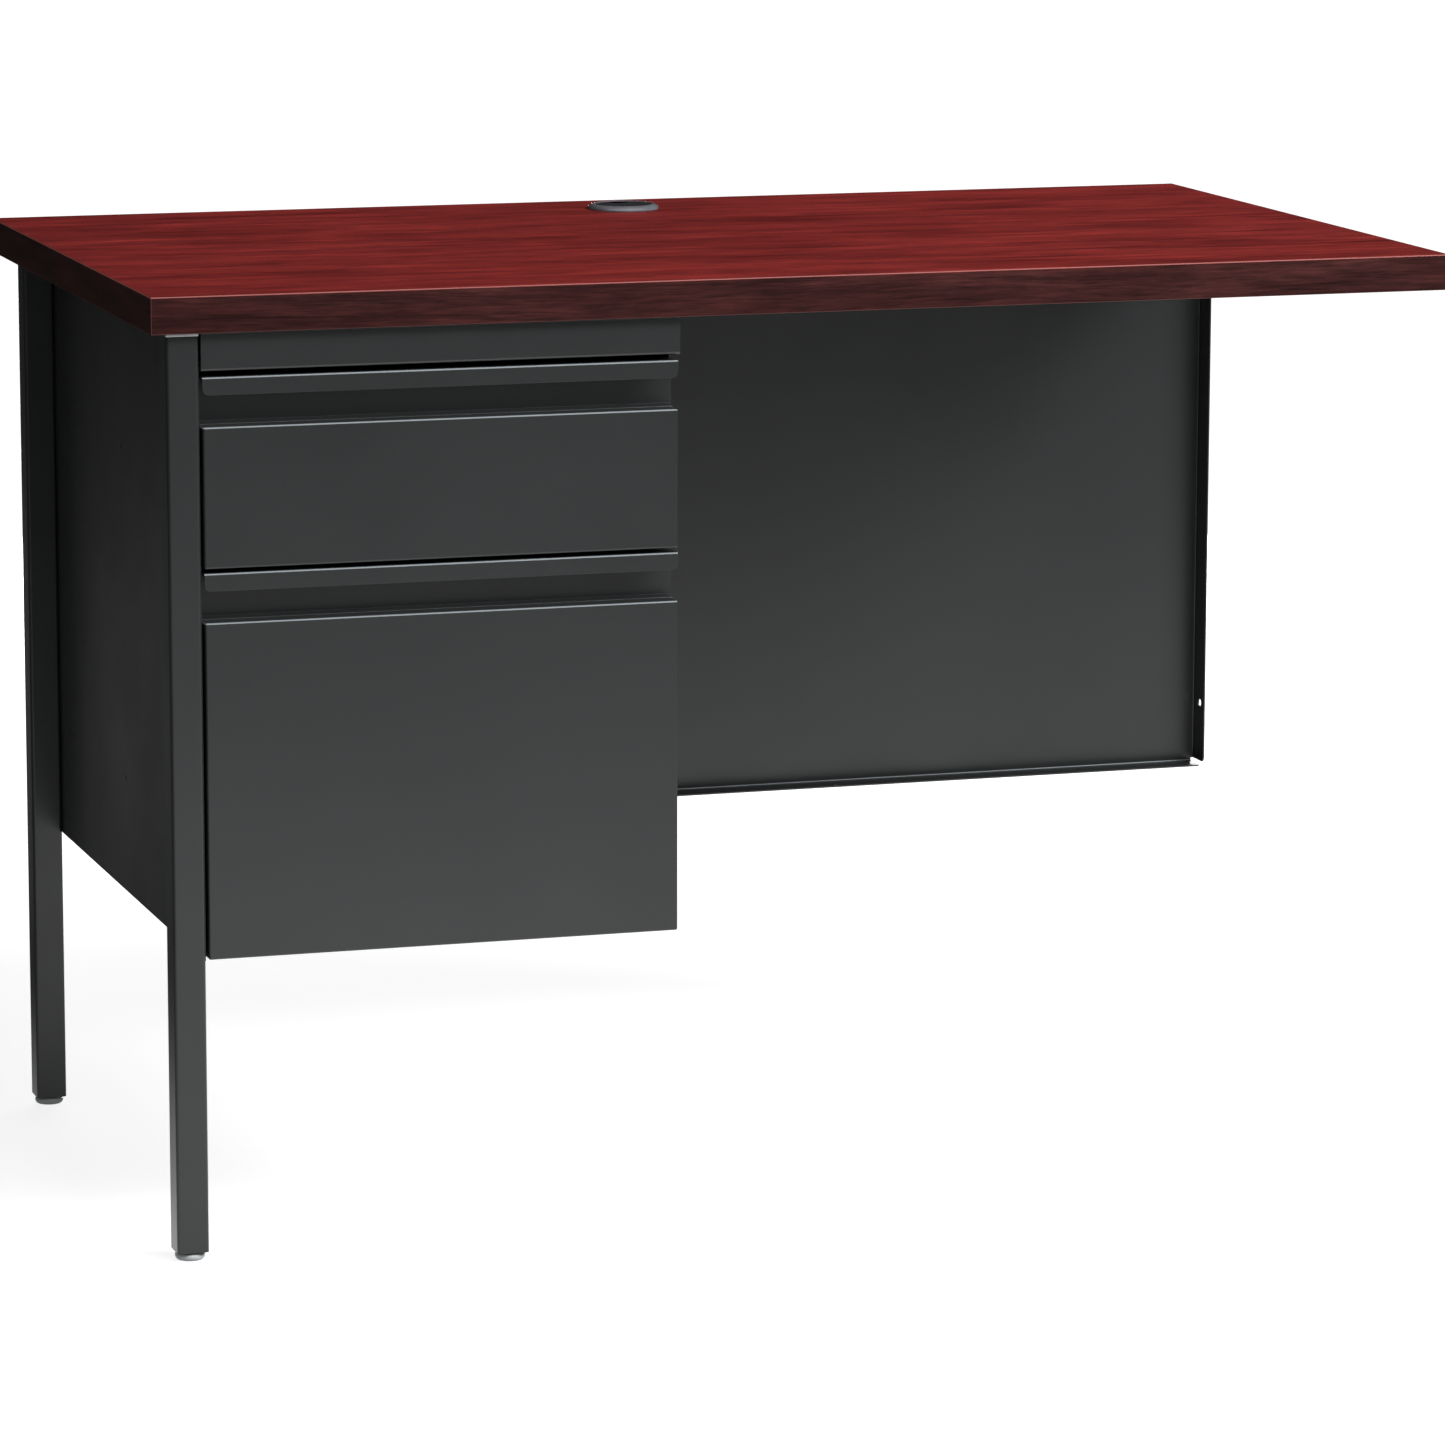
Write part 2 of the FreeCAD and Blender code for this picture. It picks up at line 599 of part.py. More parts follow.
drawer_face("file_drawer_face", file_bottom, file_face_top)
inner_front("file_drawer_inner_front", file_bottom + 2, file_lip_top)
tray("file_drawer_tray", file_floor, d["file_tray_height"])
HANG_RAIL = 3
HANG_RAIL_HEIGHT = 16
HANG_RAIL_HOOK = 6
rail_low = d["hang_rail_top"] - HANG_RAIL_HEIGHT
hook_low = d["hang_rail_top"] - HANG_RAIL_HOOK
drawer_back("file_drawer_back", file_floor, hook_low)

tray_middle = (tray_left + tray_right) / 2
for side, sign in (("left", -0.5), ("right", 0.5)):
    rail_x = tray_middle + d["hang_rail_span"] * sign
    rail_sides = (rail_x - HANG_RAIL / 2, rail_x + HANG_RAIL / 2)
    bar = block(rail_sides, (tray_front, tray_back - HEM), (rail_low, d["hang_rail_top"]))
    hook = block(rail_sides, (tray_back - HEM, tray_back - k), (hook_low, d["hang_rail_top"]))
    piece(f"file_hang_rail_{side}", fuse(bar, hook))

# ---------------------------------------------------------------- telescopic slides
slide_front = front + d["slide_setback"]
t = d["slide_sheet"]
CABINET_LIP = 9.5
MIDDLE_WEB = 3.0
MIDDLE_LIP = 10.4
DRAWER_LIP = 7.0
MEMBER_STEP = 3.5
MEMBER_ROUND = 1.0


def channel(web, lip, level, half_height, name):
    """A slide member: a channel whose web is at one place and whose lips end at another, along Y."""
    if lip.value > web.value:
        inside = web + t
    else:
        inside = web - t
    outline = [(web, level - half_height), (lip, level - half_height), (lip, level - half_height + t),
               (inside, level - half_height + t), (inside, level + half_height - t),
               (lip, level + half_height - t), (lip, level + half_height), (web, level + half_height)]
    body = extrusion("XZ_Plane", [outline], slide_front, d["slide_length"])
    ends = (level - half_height, level + half_height)
    body_fillet(body, MEMBER_ROUND, "y", [{"x": web, "z": end} for end in ends])
    return piece(name, body)


slide_levels = {"box": d["box_slide_level"], "file": d["file_slide_level"]}
for drawer, level in slide_levels.items():
    for side, wall_x, inward in (("left", inner_left, 1), ("right", inner_right, -1)):
        cabinet_half = d["slide_height"] / 2
        channel(wall_x, wall_x + CABINET_LIP * inward, level, cabinet_half, f"{drawer}_{side}_cabinet_member")
        channel(wall_x + MIDDLE_WEB * inward, wall_x + MIDDLE_LIP * inward, level, cabinet_half - MEMBER_STEP,
                f"{drawer}_{side}_middle_member")
        tray_side = wall_x + d["slide_width"] * inward
        channel(tray_side, tray_side - DRAWER_LIP * inward, level, cabinet_half - MEMBER_STEP * 2,
                f"{drawer}_{side}_drawer_member")

# ---------------------------------------------------------------- modesty panel
GROMMET_NOTCH = 36
CORNER_SLIT = 2.2
FLANGE_CORNER = 4.5
TOP_FLANGE = 19
TIE_HOLE_SETBACK = 3.2
TIE_HOLE_RADIUS = 2.6
panel_left = inner_left
web = block((panel_left, reach), (panel_back - s, panel_back), (case_bottom, under))
bottom_flange = block((panel_left, reach - s - CORNER_SLIT), (panel_front, panel_back),
                      (case_bottom, case_bottom + s))
right_flange = block((reach - s, reach), (panel_front, panel_back), (case_bottom + s + CORNER_SLIT, under))
left_flange = block((panel_left, panel_left + s), (case_back + 1, panel_back), (case_bottom + 25, under - 30))
top_flange = block((panel_left + s + 1, right - 3), (panel_back - TOP_FLANGE, panel_back), (under - s, under))
grommet_clearance = block((grommet_x - GROMMET_NOTCH, grommet_x + GROMMET_NOTCH),
                          (panel_back - 30, panel_back - s), (under - 10, under + 10))
panel = cut(fuse(web, bottom_flange, right_flange, left_flange, top_flange), grommet_clearance)
hole_y = panel_front + d["flange_hole_setback"]
hole_levels = [d["flange_hole_low"], d["flange_hole_low"] + d["flange_hole_pitch"]]
holes = [rod("x", (reach - 6, hole_y, level), 12, d["flange_hole"] / 2) for level in hole_levels]
tie_hole = rod("z", (d["tie_hole_along"], panel_front + TIE_HOLE_SETBACK, case_bottom - 4), 10, TIE_HOLE_RADIUS)
corner_relief = block((reach - s - CORNER_SLIT, reach + 1), (panel_front - 1, panel_back + 1),
                      (case_bottom - 1, case_bottom + s + CORNER_SLIT))
panel = cut(panel, *holes, tie_hole, corner_relief)
panel = round_edges(panel,
                    ("x", {"y": panel_back, "z": case_bottom}, d["fold"]),
                    ("x", {"y": panel_back - s, "z": case_bottom + s}, d["fold"] - s),
                    ("z", {"x": reach, "y": panel_back}, d["fold"]),
                    ("z", {"x": reach - s, "y": panel_back - s}, d["fold"] - s),
                    ("x", {"y": panel_front, "z": case_bottom + s + CORNER_SLIT}, FLANGE_CORNER),
                    ("z", {"x": reach - s - CORNER_SLIT, "y": panel_front}, FLANGE_CORNER))
piece("modesty_panel", panel)

# ---------------------------------------------------------------- fasteners and bumpers
HEAD_RADIUS = 4.5
HEAD_THICK = 2.2
SHANK_RADIUS = 2.1
SHANK_LENGTH = 18


def wood_screw(x, y, level):
    """A pan-head screw driven up through a flange into the worktop's core."""
    head = rod("z", (x, y, level - HEAD_THICK), HEAD_THICK, HEAD_RADIUS)
    shank = rod("z", (x, y, level), SHANK_LENGTH, SHANK_RADIUS)
    return fuse(head, shank)


screw_places = []
flange_x = (inner_left + 11, inner_right - 11)
screw_places += [(x, front + y, under - s) for x in flange_x for y in (110, 300, 490)]
screw_places += [(case_left + x, face + 19.5, under - s) for x in (60, 322)]
screw_places += [(case_left + x, stretcher_front + 6, under - s) for x in (60, 322)]
screw_places += [(panel_left + x, panel_back - 11, under - s) for x in (60, 330, 610, 790, 970)]
screw_places += [(leg_left + 12.7, face + y, leg_top) for y in (42, 60)]
screw_places += [(leg_left + 12.7, panel_back - y, leg_top) for y in (42, 60)]
piece("worktop_screws", group(*[wood_screw(*where) for where in screw_places]))


LOW_HEAD = 1.3
LOW_HEAD_RADIUS = 3.6
SIDE_SHANK = 1.9


def side_screw(x, y, z, inward, length):
    """A low-head screw whose head sits on the inner face of a wall and whose shank goes through it."""
    head_start = x if inward > 0 else x - LOW_HEAD
    head = rod("x", (head_start, y, z), LOW_HEAD, LOW_HEAD_RADIUS)
    shank_start = x - length if inward > 0 else x
    shank = rod("x", (shank_start, y, z), length, SIDE_SHANK)
    return fuse(head, shank)


SCREW_RUN = (60, 250, 460)
cabinet_screws = []
for level in slide_levels.values():
    for wall_x, inward in ((inner_left, 1), (inner_right, -1)):
        cabinet_screws += [side_screw(wall_x + 1.2 * inward, slide_front + y, level, inward, 2.4)
                           for y in SCREW_RUN]
piece("cabinet_slide_screws", group(*cabinet_screws))

for drawer, level in slide_levels.items():
    screws = []
    for tray_x, inward in ((tray_left, 1), (tray_right, -1)):
        screws += [side_screw(tray_x + k * inward, slide_front + y, level, inward, 2.2) for y in SCREW_RUN]
    piece(f"{drawer}_drawer_screws", group(*screws))

panel_screws = [side_screw(panel_left + s, panel_back - 13, case_bottom + z, 1, 4.0) for z in (60, 240, 420)]
piece("modesty_panel_screws", group(*panel_screws))

BUMPER_RADIUS = 4.5
BUMPER_GAP = 0.8
BUMPER_INSET = 30
bumper_length = case_front - tray_front - BUMPER_GAP
bumper_levels = (Size.of(MID_RAIL_LOW + MID_RAIL_HIGH) / 2, case_bottom + PAN_FLANGE / 2)
bumpers = []
for level in bumper_levels:
    for x in (inner_left + BUMPER_INSET, inner_right - BUMPER_INSET):
        bumpers.append(rod("y", (x, tray_front + BUMPER_GAP, level), bumper_length, BUMPER_RADIUS))
piece("drawer_bumpers", group(*bumpers))

# ---------------------------------------------------------------- checks and export
doc.recompute()
for thing in doc.Objects:
    if "Invalid" in thing.State or "Error" in thing.State:
        raise RuntimeError(f"{thing.Name} ({thing.Label}) failed: {thing.State}")
for node in nodes:
    if node.Shape.isNull() or not node.Shape.isValid() or not node.Shape.Solids:
        raise RuntimeError(f"{node.Label} has no valid solid")
for node in nodes:
    node.Shape.exportStep(f"parts/{node.Label}.step")

extent = Part.makeCompound([node.Shape for node in nodes]).BoundBox
print(len(nodes), "nodes", [round(v, 2) for v in (extent.XMin, extent.XMax, extent.YMin, extent.YMax,
                                                  extent.ZMin, extent.ZMax)])
for node in nodes:
    box = node.Shape.BoundBox
    print(f"{node.Label:28s} {len(node.Shape.Solids):3d} solids {node.Shape.Volume / 1000:10.2f} cm3 "
          f"x {box.XMin:8.2f} {box.XMax:8.2f} y {box.YMin:8.2f} {box.YMax:8.2f} "
          f"z {box.ZMin:8.2f} {box.ZMax:8.2f}")
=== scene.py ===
# %% [markdown]
# # A teacher's desk return in laminate and folded steel
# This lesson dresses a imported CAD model. The model is loaded as a fixed frame: every piece has its
# true place in metres, +X to the right, +Y to the back and +Z up. Each step first says what a piece
# or finish is on the real desk, how it could be made, and why one way was chosen.

import json
import math

import bpy
from mathutils import Matrix, Vector


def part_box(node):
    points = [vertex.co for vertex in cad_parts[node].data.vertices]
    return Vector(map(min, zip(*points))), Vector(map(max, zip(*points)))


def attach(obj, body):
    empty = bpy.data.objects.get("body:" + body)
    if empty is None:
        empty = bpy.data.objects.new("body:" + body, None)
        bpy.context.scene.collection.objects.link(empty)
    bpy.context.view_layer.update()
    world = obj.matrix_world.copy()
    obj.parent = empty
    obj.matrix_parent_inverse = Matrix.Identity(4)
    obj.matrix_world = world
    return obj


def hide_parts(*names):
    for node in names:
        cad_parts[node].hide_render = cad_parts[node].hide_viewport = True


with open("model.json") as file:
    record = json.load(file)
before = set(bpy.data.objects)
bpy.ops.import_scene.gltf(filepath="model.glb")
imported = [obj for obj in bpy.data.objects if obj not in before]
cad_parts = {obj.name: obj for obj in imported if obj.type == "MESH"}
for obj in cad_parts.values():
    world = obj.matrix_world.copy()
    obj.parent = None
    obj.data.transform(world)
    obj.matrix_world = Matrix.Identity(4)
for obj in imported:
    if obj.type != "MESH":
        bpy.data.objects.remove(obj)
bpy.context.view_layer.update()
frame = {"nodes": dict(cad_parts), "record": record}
nodes = frame["nodes"]

# %% [markdown]
# ## Camera
# The desk stands as a catalogue would show it: seen from the front left, a little above the worktop,
# through a long lens so that its edges stay nearly parallel. A short lens close by would show the
# same corner but spread the near leg. The camera is turned in three plain steps: up from looking at
# the floor, round to the right, and a touch of roll.

# %% Camera
CAMERA_PLACE = Vector((-1.6002, -5.0740, 1.3190))
CAMERA_TURN = math.radians(17.614)
CAMERA_DOWN = math.radians(10.350)
CAMERA_ROLL = math.radians(0.131)
FOCAL_LENGTH = 161.373

camera_data = bpy.data.cameras.new("desk_camera")
camera_data.lens = FOCAL_LENGTH
camera_data.sensor_width = 36.0
camera = bpy.data.objects.new("desk_camera", camera_data)
bpy.context.scene.collection.objects.link(camera)
turn = Matrix.Rotation(-CAMERA_TURN, 4, "Z")
tilt = Matrix.Rotation(math.pi / 2 - CAMERA_DOWN, 4, "X")
roll = Matrix.Rotation(CAMERA_ROLL, 4, "Z")
camera.matrix_world = Matrix.Translation(CAMERA_PLACE) @ turn @ tilt @ roll
bpy.context.scene.camera = camera
bpy.context.scene.view_settings.view_transform = "Standard"
print("camera", tuple(round(v, 3) for v in camera.location), "lens", camera_data.lens)

# %% [markdown]
# ## Studio
# Dark painted steel shows the room more than its own colour. The room here is a pale floor under a
# dim sky that is brighter overhead and in front, so that each face gets its own tone. A bank of light
# that only reflections see brightens the folds, and four softboxes light the faces. A ring of small
# lamps could do the same, but each would leave its own shape in the paint.

# %% Pale floor
FLOOR_SIZE = 120.0
FLOOR_BOUNCE = 0.13
FLOOR_GLOSS = 1.5
POOL_MIDDLE = (0.25, -1.0, 0.0)
POOL_REACH = (0.6, 2.0)
GLOW_REACH = (1.5, 4.5)
NEAR_GLOW, FAR_GLOW = 0.82, 1.0
LIT_GREY, DARK_GREY = 0.5, 0.17


def link(tree, a, b):
    tree.links.new(a, b)


def add(tree, kind, x=0, y=0, **values):
    """Add a shader node, set its properties and unlinked sockets."""
    node = tree.nodes.new(kind)
    node.location = (x, y)
    for key, value in values.items():
        if hasattr(node, key):
            setattr(node, key, value)
        else:
            node.inputs[key.replace("_", " ")].default_value = value
    return node


def new_material(name):
    material = bpy.data.materials.new(name)
    material.use_nodes = True
    tree = material.node_tree
    tree.nodes.clear()
    output = add(tree, "ShaderNodeOutputMaterial", 600, 0)
    skin = add(tree, "ShaderNodeBsdfPrincipled", 300, 0)
    link(tree, skin.outputs["BSDF"], output.inputs["Surface"])
    return material, tree, skin


def arithmetic(tree, kind, a, b=None):
    """One Math node fed by sockets or plain numbers."""
    node = add(tree, "ShaderNodeMath", operation=kind)
    for place, value in enumerate((a, b)):
        if isinstance(value, (int, float)):
            node.inputs[place].default_value = value
        elif value is not None:
            link(tree, value, node.inputs[place])
    return node.outputs[0]


def stretch(tree, value, low, high, to_low, to_high, soft=False):
    """Carry a value from one range to another, straight or with soft ends."""
    node = add(tree, "ShaderNodeMapRange", interpolation_type="SMOOTHSTEP" if soft else "LINEAR")
    link(tree, value, node.inputs["Value"])
    for key, number in zip(("From Min", "From Max", "To Min", "To Max"), (low, high, to_low, to_high)):
        node.inputs[key].default_value = number
    return node.outputs["Result"]


def join_shaders(tree, kind, a, b, share=None):
    """Add two shaders, or mix them by a share."""
    node = add(tree, kind)
    link(tree, a.outputs[0], node.inputs[-2])
    link(tree, b.outputs[0], node.inputs[-1])
    if share:
        link(tree, share, node.inputs[0])
    return node


bpy.ops.object.select_all(action="DESELECT")
bpy.ops.mesh.primitive_plane_add(size=FLOOR_SIZE, location=(0, 0, 0))
floor = bpy.context.object
floor.name = "studio_floor"
floor_material = bpy.data.materials.new("floor_paper")
floor_material.use_nodes = True
paper = floor_material.node_tree
paper.nodes.clear()
# The camera sees the floor glow near white. The desk sees dark grey paper with a glowing pool in front of it,
# which stands in for light bounced off the floor.
paper_rays = add(paper, "ShaderNodeLightPath")
under = add(paper, "ShaderNodeTexCoord")
reach = add(paper, "ShaderNodeVectorMath", operation="DISTANCE")
reach.inputs[1].default_value = POOL_MIDDLE
link(paper, under.outputs["Object"], reach.inputs[0])
away = reach.outputs["Value"]
pool = stretch(paper, away, *POOL_REACH, 1.0, 0.0, soft=True)
pool_share = stretch(paper, paper_rays.outputs["Is Glossy Ray"], 0.0, 1.0, FLOOR_BOUNCE, FLOOR_GLOSS)
bounce = add(paper, "ShaderNodeEmission")
link(paper, arithmetic(paper, "MULTIPLY", pool, pool_share), bounce.inputs["Strength"])
glow_paper = add(paper, "ShaderNodeEmission")
link(paper, stretch(paper, away, *GLOW_REACH, NEAR_GLOW, FAR_GLOW, soft=True), glow_paper.inputs["Strength"])
lit_paper = add(paper, "ShaderNodeBsdfDiffuse", Color=(LIT_GREY, LIT_GREY, LIT_GREY, 1))
dark_paper = add(paper, "ShaderNodeBsdfDiffuse", Color=(DARK_GREY, DARK_GREY, DARK_GREY, 1))
seen_paper = join_shaders(paper, "ShaderNodeAddShader", lit_paper, glow_paper)
lit_pool = join_shaders(paper, "ShaderNodeAddShader", dark_paper, bounce)
whole_paper = join_shaders(paper, "ShaderNodeMixShader", lit_pool, seen_paper,
                           paper_rays.outputs["Is Camera Ray"])
link(paper, whole_paper.outputs[0], add(paper, "ShaderNodeOutputMaterial").inputs["Surface"])
floor.data.materials.append(floor_material)
print("floor", FLOOR_SIZE, "m wide")

# %% Soft sky
SKY_BASE = 0.02
SKY_TOP = 0.08
SKY_FRONT = 0.4
SKY_SEEN = 1.25
BANK_LIGHT = 3.0
BANK_HEIGHT = (0.50, 0.72)
BANK_FRONT = (0.0, 0.20)

world = bpy.data.worlds.new("studio_sky")
bpy.context.scene.world = world
world.use_nodes = True
sky = world.node_tree
sky.nodes.clear()
facing = add(sky, "ShaderNodeTexCoord")
split = add(sky, "ShaderNodeSeparateXYZ")
link(sky, facing.outputs["Generated"], split.inputs[0])
_, to_back, to_top = split.outputs
upward = arithmetic(sky, "MAXIMUM", to_top, 0.0)
top_light = arithmetic(sky, "MULTIPLY", arithmetic(sky, "POWER", upward, 0.8), SKY_TOP)
forward = arithmetic(sky, "MAXIMUM", arithmetic(sky, "MULTIPLY", to_back, -1.0), 0.0)
front_light = arithmetic(sky, "MULTIPLY", forward, SKY_FRONT)
glow = arithmetic(sky, "ADD", arithmetic(sky, "ADD", top_light, front_light), SKY_BASE)
behind = arithmetic(sky, "MAXIMUM", to_back, 0.0)
low_down = arithmetic(sky, "SUBTRACT", 1.0, arithmetic(sky, "POWER", upward, 2.0))
dim = arithmetic(sky, "MULTIPLY", behind, low_down)
glow = arithmetic(sky, "MULTIPLY", glow, arithmetic(sky, "SUBTRACT", 1.0, dim))
high_bank = stretch(sky, to_top, *BANK_HEIGHT, 0.0, 1.0, soft=True)
front_bank = stretch(sky, forward, *BANK_FRONT, 0.0, 1.0, soft=True)
bank = arithmetic(sky, "MULTIPLY", arithmetic(sky, "MULTIPLY", high_bank, front_bank), BANK_LIGHT)
sky_rays = add(sky, "ShaderNodeLightPath")
gloss_only = arithmetic(sky, "MULTIPLY", bank, sky_rays.outputs["Is Glossy Ray"])
room = add(sky, "ShaderNodeBackground")
link(sky, arithmetic(sky, "ADD", glow, gloss_only), room.inputs["Strength"])
backdrop = add(sky, "ShaderNodeBackground", Strength=SKY_SEEN)
whole_sky = join_shaders(sky, "ShaderNodeMixShader", room, backdrop, sky_rays.outputs["Is Camera Ray"])
link(sky, whole_sky.outputs[0], add(sky, "ShaderNodeOutputWorld").inputs["Surface"])
print("sky", len(sky.nodes), "nodes")

# %% Softboxes
AIM = Vector((0.0, 0.0, 0.5))
# Name, place, width, height, watts, and whether it shows in the gloss. The rear one lights the back of
# the desk from below the worktop's level, so that it lays no sheen on it.
SOFTBOXES = (("right_softbox", (3.0, -2.6, 3.2), 2.0, 1.6, 215, False),
             ("front_softbox", (0.9, -3.0, 4.2), 2.6, 1.6, 100, False),
             ("left_softbox", (-3.6, -1.6, 1.6), 1.6, 1.6, 2, True),
             ("rear_softbox", (0.9, 3.2, 0.38), 2.4, 0.6, 110, True))


def softbox(name, place, width, height, power, mirrored):
    """A square lamp aimed at the desk."""
    data = bpy.data.lights.new(name, "AREA")
    data.shape = "RECTANGLE"
    data.size = width
    data.size_y = height
    data.energy = power
    lamp = bpy.data.objects.new(name, data)
    bpy.context.scene.collection.objects.link(lamp)
    lamp.location = place
    lamp.visible_glossy = mirrored
    lamp.rotation_euler = (AIM - Vector(place)).to_track_quat("-Z", "Y").to_euler()


for row in SOFTBOXES:
    softbox(*row)

# %% [markdown]
# ## Shared surface effects
# Three effects return in most finishes, so each is one node group: fine skin of a sprayed or moulded
# surface, slow patches of tone, and long grain. A group only hands out masks and normals. The shader
# itself stays in each material, where its plain numbers are easy to read and to export.

# %% Node group helpers


def new_group(name, inputs, outputs):
    """A shader node group with named sockets: (name, kind, default) in, (name, kind) out."""
    group = bpy.data.node_groups.new(name, "ShaderNodeTree")
    for label, kind, value in inputs:
        socket = group.interface.new_socket(name=label, in_out="INPUT", socket_type=kind)
        socket.default_value = value
    for label, kind in outputs:
        group.interface.new_socket(name=label, in_out="OUTPUT", socket_type=kind)
    start = add(group, "NodeGroupInput", -600, 0)
    end = add(group, "NodeGroupOutput", 600, 0)
    return group, start, end


def place_group(tree, group, **values):
    node = add(tree, "ShaderNodeGroup")
    node.node_tree = group
    for key, value in values.items():
        node.inputs[key.replace("_", " ")].default_value = value
    return node


NUMBER, VECTOR = "NodeSocketFloat", "NodeSocketVector"


def noise(tree, place, scale, **settings):
    """A noise over a place; scale is a plain number or a socket."""
    node = add(tree, "ShaderNodeTexNoise", **settings)
    link(tree, place, node.inputs["Vector"])
    if isinstance(scale, float):
        node.inputs["Scale"].default_value = scale
    else:
        link(tree, scale, node.inputs["Scale"])
    return node.outputs["Fac"]


def own_place(tree):
    """The place on the piece."""
    return add(tree, "ShaderNodeTexCoord").outputs["Object"]


# %% Sprayed skin: orange peel, fine specks
skin_group, skin_in, skin_out = new_group(
    "sprayed_skin",
    [("Peel Scale", NUMBER, 420.0), ("Peel Depth", NUMBER, 0.12), ("Speck Scale", NUMBER, 2600.0)],
    [("Normal", VECTOR), ("Speck", NUMBER)])
spot = own_place(skin_group)
peel = noise(skin_group, spot, skin_in.outputs["Peel Scale"], Detail=2.0, Roughness=0.45)
speck = noise(skin_group, spot, skin_in.outputs["Speck Scale"], Detail=1.0, Roughness=0.6)
peel_bump = add(skin_group, "ShaderNodeBump", Distance=0.0004)
link(skin_group, skin_in.outputs["Peel Depth"], peel_bump.inputs["Strength"])
link(skin_group, peel, peel_bump.inputs["Height"])
link(skin_group, peel_bump.outputs["Normal"], skin_out.inputs["Normal"])
link(skin_group, speck, skin_out.inputs["Speck"])

# %% Slow patches of tone
patch_group, patch_in, patch_out = new_group(
    "slow_patches",
    [("Scale", NUMBER, 6.0), ("Low", NUMBER, 0.9), ("High", NUMBER, 1.1)],
    [("Tone", NUMBER)])
patches = noise(patch_group, own_place(patch_group), patch_in.outputs["Scale"], Detail=4.0, Roughness=0.55)
spread = add(patch_group, "ShaderNodeMapRange")
spread.inputs["From Min"].default_value = 0.3
spread.inputs["From Max"].default_value = 0.7
link(patch_group, patches, spread.inputs["Value"])
link(patch_group, patch_in.outputs["Low"], spread.inputs["To Min"])
link(patch_group, patch_in.outputs["High"], spread.inputs["To Max"])
link(patch_group, spread.outputs["Result"], patch_out.inputs["Tone"])

# %% Long grain: streaks along one way
grain_group, grain_in, grain_out = new_group(
    "long_grain",
    [("Stretch", VECTOR, (1.0, 30.0, 30.0)), ("Scale", NUMBER, 4.0), ("Waver", VECTOR, (0.0, 0.02, 0.02))],
    [("Streak", NUMBER), ("Figure", NUMBER), ("Pore", NUMBER)])
spot = own_place(grain_group)
surface = add(grain_group, "ShaderNodeNewGeometry")
surface_way = add(grain_group, "ShaderNodeSeparateXYZ")
link(grain_group, surface.outputs["True Normal"], surface_way.inputs[0])
steepness = arithmetic(grain_group, "ABSOLUTE", surface_way.outputs["X"])
sideways = arithmetic(grain_group, "GREATER_THAN", steepness, 0.7)
place_parts = add(grain_group, "ShaderNodeSeparateXYZ")
link(grain_group, spot, place_parts.inputs[0])
swapped = add(grain_group, "ShaderNodeCombineXYZ")
for there, here in (("X", "Y"), ("Y", "X"), ("Z", "Z")):
    link(grain_group, place_parts.outputs[here], swapped.inputs[there])
# Sockets 0, 4 and 5 of a vector Mix are its factor and its two vectors.
along_piece = add(grain_group, "ShaderNodeMix", data_type="VECTOR")
for place, socket in ((0, sideways), (4, spot), (5, swapped.outputs[0])):
    link(grain_group, socket, along_piece.inputs[place])
waver = add(grain_group, "ShaderNodeTexNoise", Scale=1.7, Detail=2.0)
link(grain_group, along_piece.outputs[1], waver.inputs["Vector"])


def vector_step(tree, kind, a, b):
    """One Vector Math node; b is a socket or a plain vector."""
    node = add(tree, "ShaderNodeVectorMath", operation=kind)
    link(tree, a, node.inputs[0])
    if isinstance(b, tuple):
        node.inputs[1].default_value = b
    else:
        link(tree, b, node.inputs[1])
    return node.outputs[0]


centred = vector_step(grain_group, "SUBTRACT", waver.outputs["Color"], (0.5, 0.5, 0.5))
sway = vector_step(grain_group, "MULTIPLY", centred, grain_in.outputs["Waver"])
moved = vector_step(grain_group, "ADD", along_piece.outputs[1], sway)
stretched = vector_step(grain_group, "MULTIPLY", moved, grain_in.outputs["Stretch"])
for label, fineness, settings in (
        ("Streak", 1.0, {"Detail": 6.0, "Roughness": 0.62}),
        ("Figure", 0.22, {"Detail": 3.0, "Roughness": 0.5, "Distortion": 0.6}),
        ("Pore", 5.0, {"Detail": 2.0, "Roughness": 0.7})):
    layer_scale = arithmetic(grain_group, "MULTIPLY", grain_in.outputs["Scale"], fineness)
    link(grain_group, noise(grain_group, stretched, layer_scale, **settings), grain_out.inputs[label])
print("groups", [g.name for g in bpy.data.node_groups])

# %% [markdown]
# ## Finishes
# The worktop wears a mahogany laminate: printed paper under melamine, so its grain has no depth of its
# own, only a fine pressed texture. Stretched noises give the streaks, the slow figure and broad bands,
# and a ramp turns them into reds. Where the sheet's edge was bevelled it is painted pale: partly the laminate's
# cut edge, partly a painted highlight where the bevel catches the light.

# %% Small helpers for finishes


def ramp(tree, factor, stops):
    node = add(tree, "ShaderNodeValToRGB")
    while len(node.color_ramp.elements) < len(stops):
        node.color_ramp.elements.new(0.5)
    for element, (place, colour) in zip(node.color_ramp.elements, stops):
        element.position = place
        element.color = (*colour, 1)
    link(tree, factor, node.inputs["Fac"])
    return node.outputs["Color"]


def blend_colour(tree, factor, a, b, kind="MIX"):
    node = add(tree, "ShaderNodeMix", data_type="RGBA", blend_type=kind)
    for key, value in (("Factor", factor), ("A", a), ("B", b)):
        socket = [s for s in node.inputs if s.name == key and s.enabled][0]
        if isinstance(value, (int, float)):
            socket.default_value = value
        elif isinstance(value, tuple):
            socket.default_value = (*value, 1)
        else:
            link(tree, value, socket)
    return [s for s in node.outputs if s.enabled][0]


def toned(tree, colour, value):
    """Darken or lighten a colour by a grey value."""
    grey = add(tree, "ShaderNodeCombineColor")
    for key in ("Red", "Green", "Blue"):
        link(tree, value, grey.inputs[key])
    return blend_colour(tree, 1.0, colour, grey.outputs[0], "MULTIPLY")


def bumped(tree, skin, height, strength, distance):
    bump = add(tree, "ShaderNodeBump", Strength=strength, Distance=distance)
    link(tree, height, bump.inputs["Height"])
    link(tree, bump.outputs["Normal"], skin.inputs["Normal"])


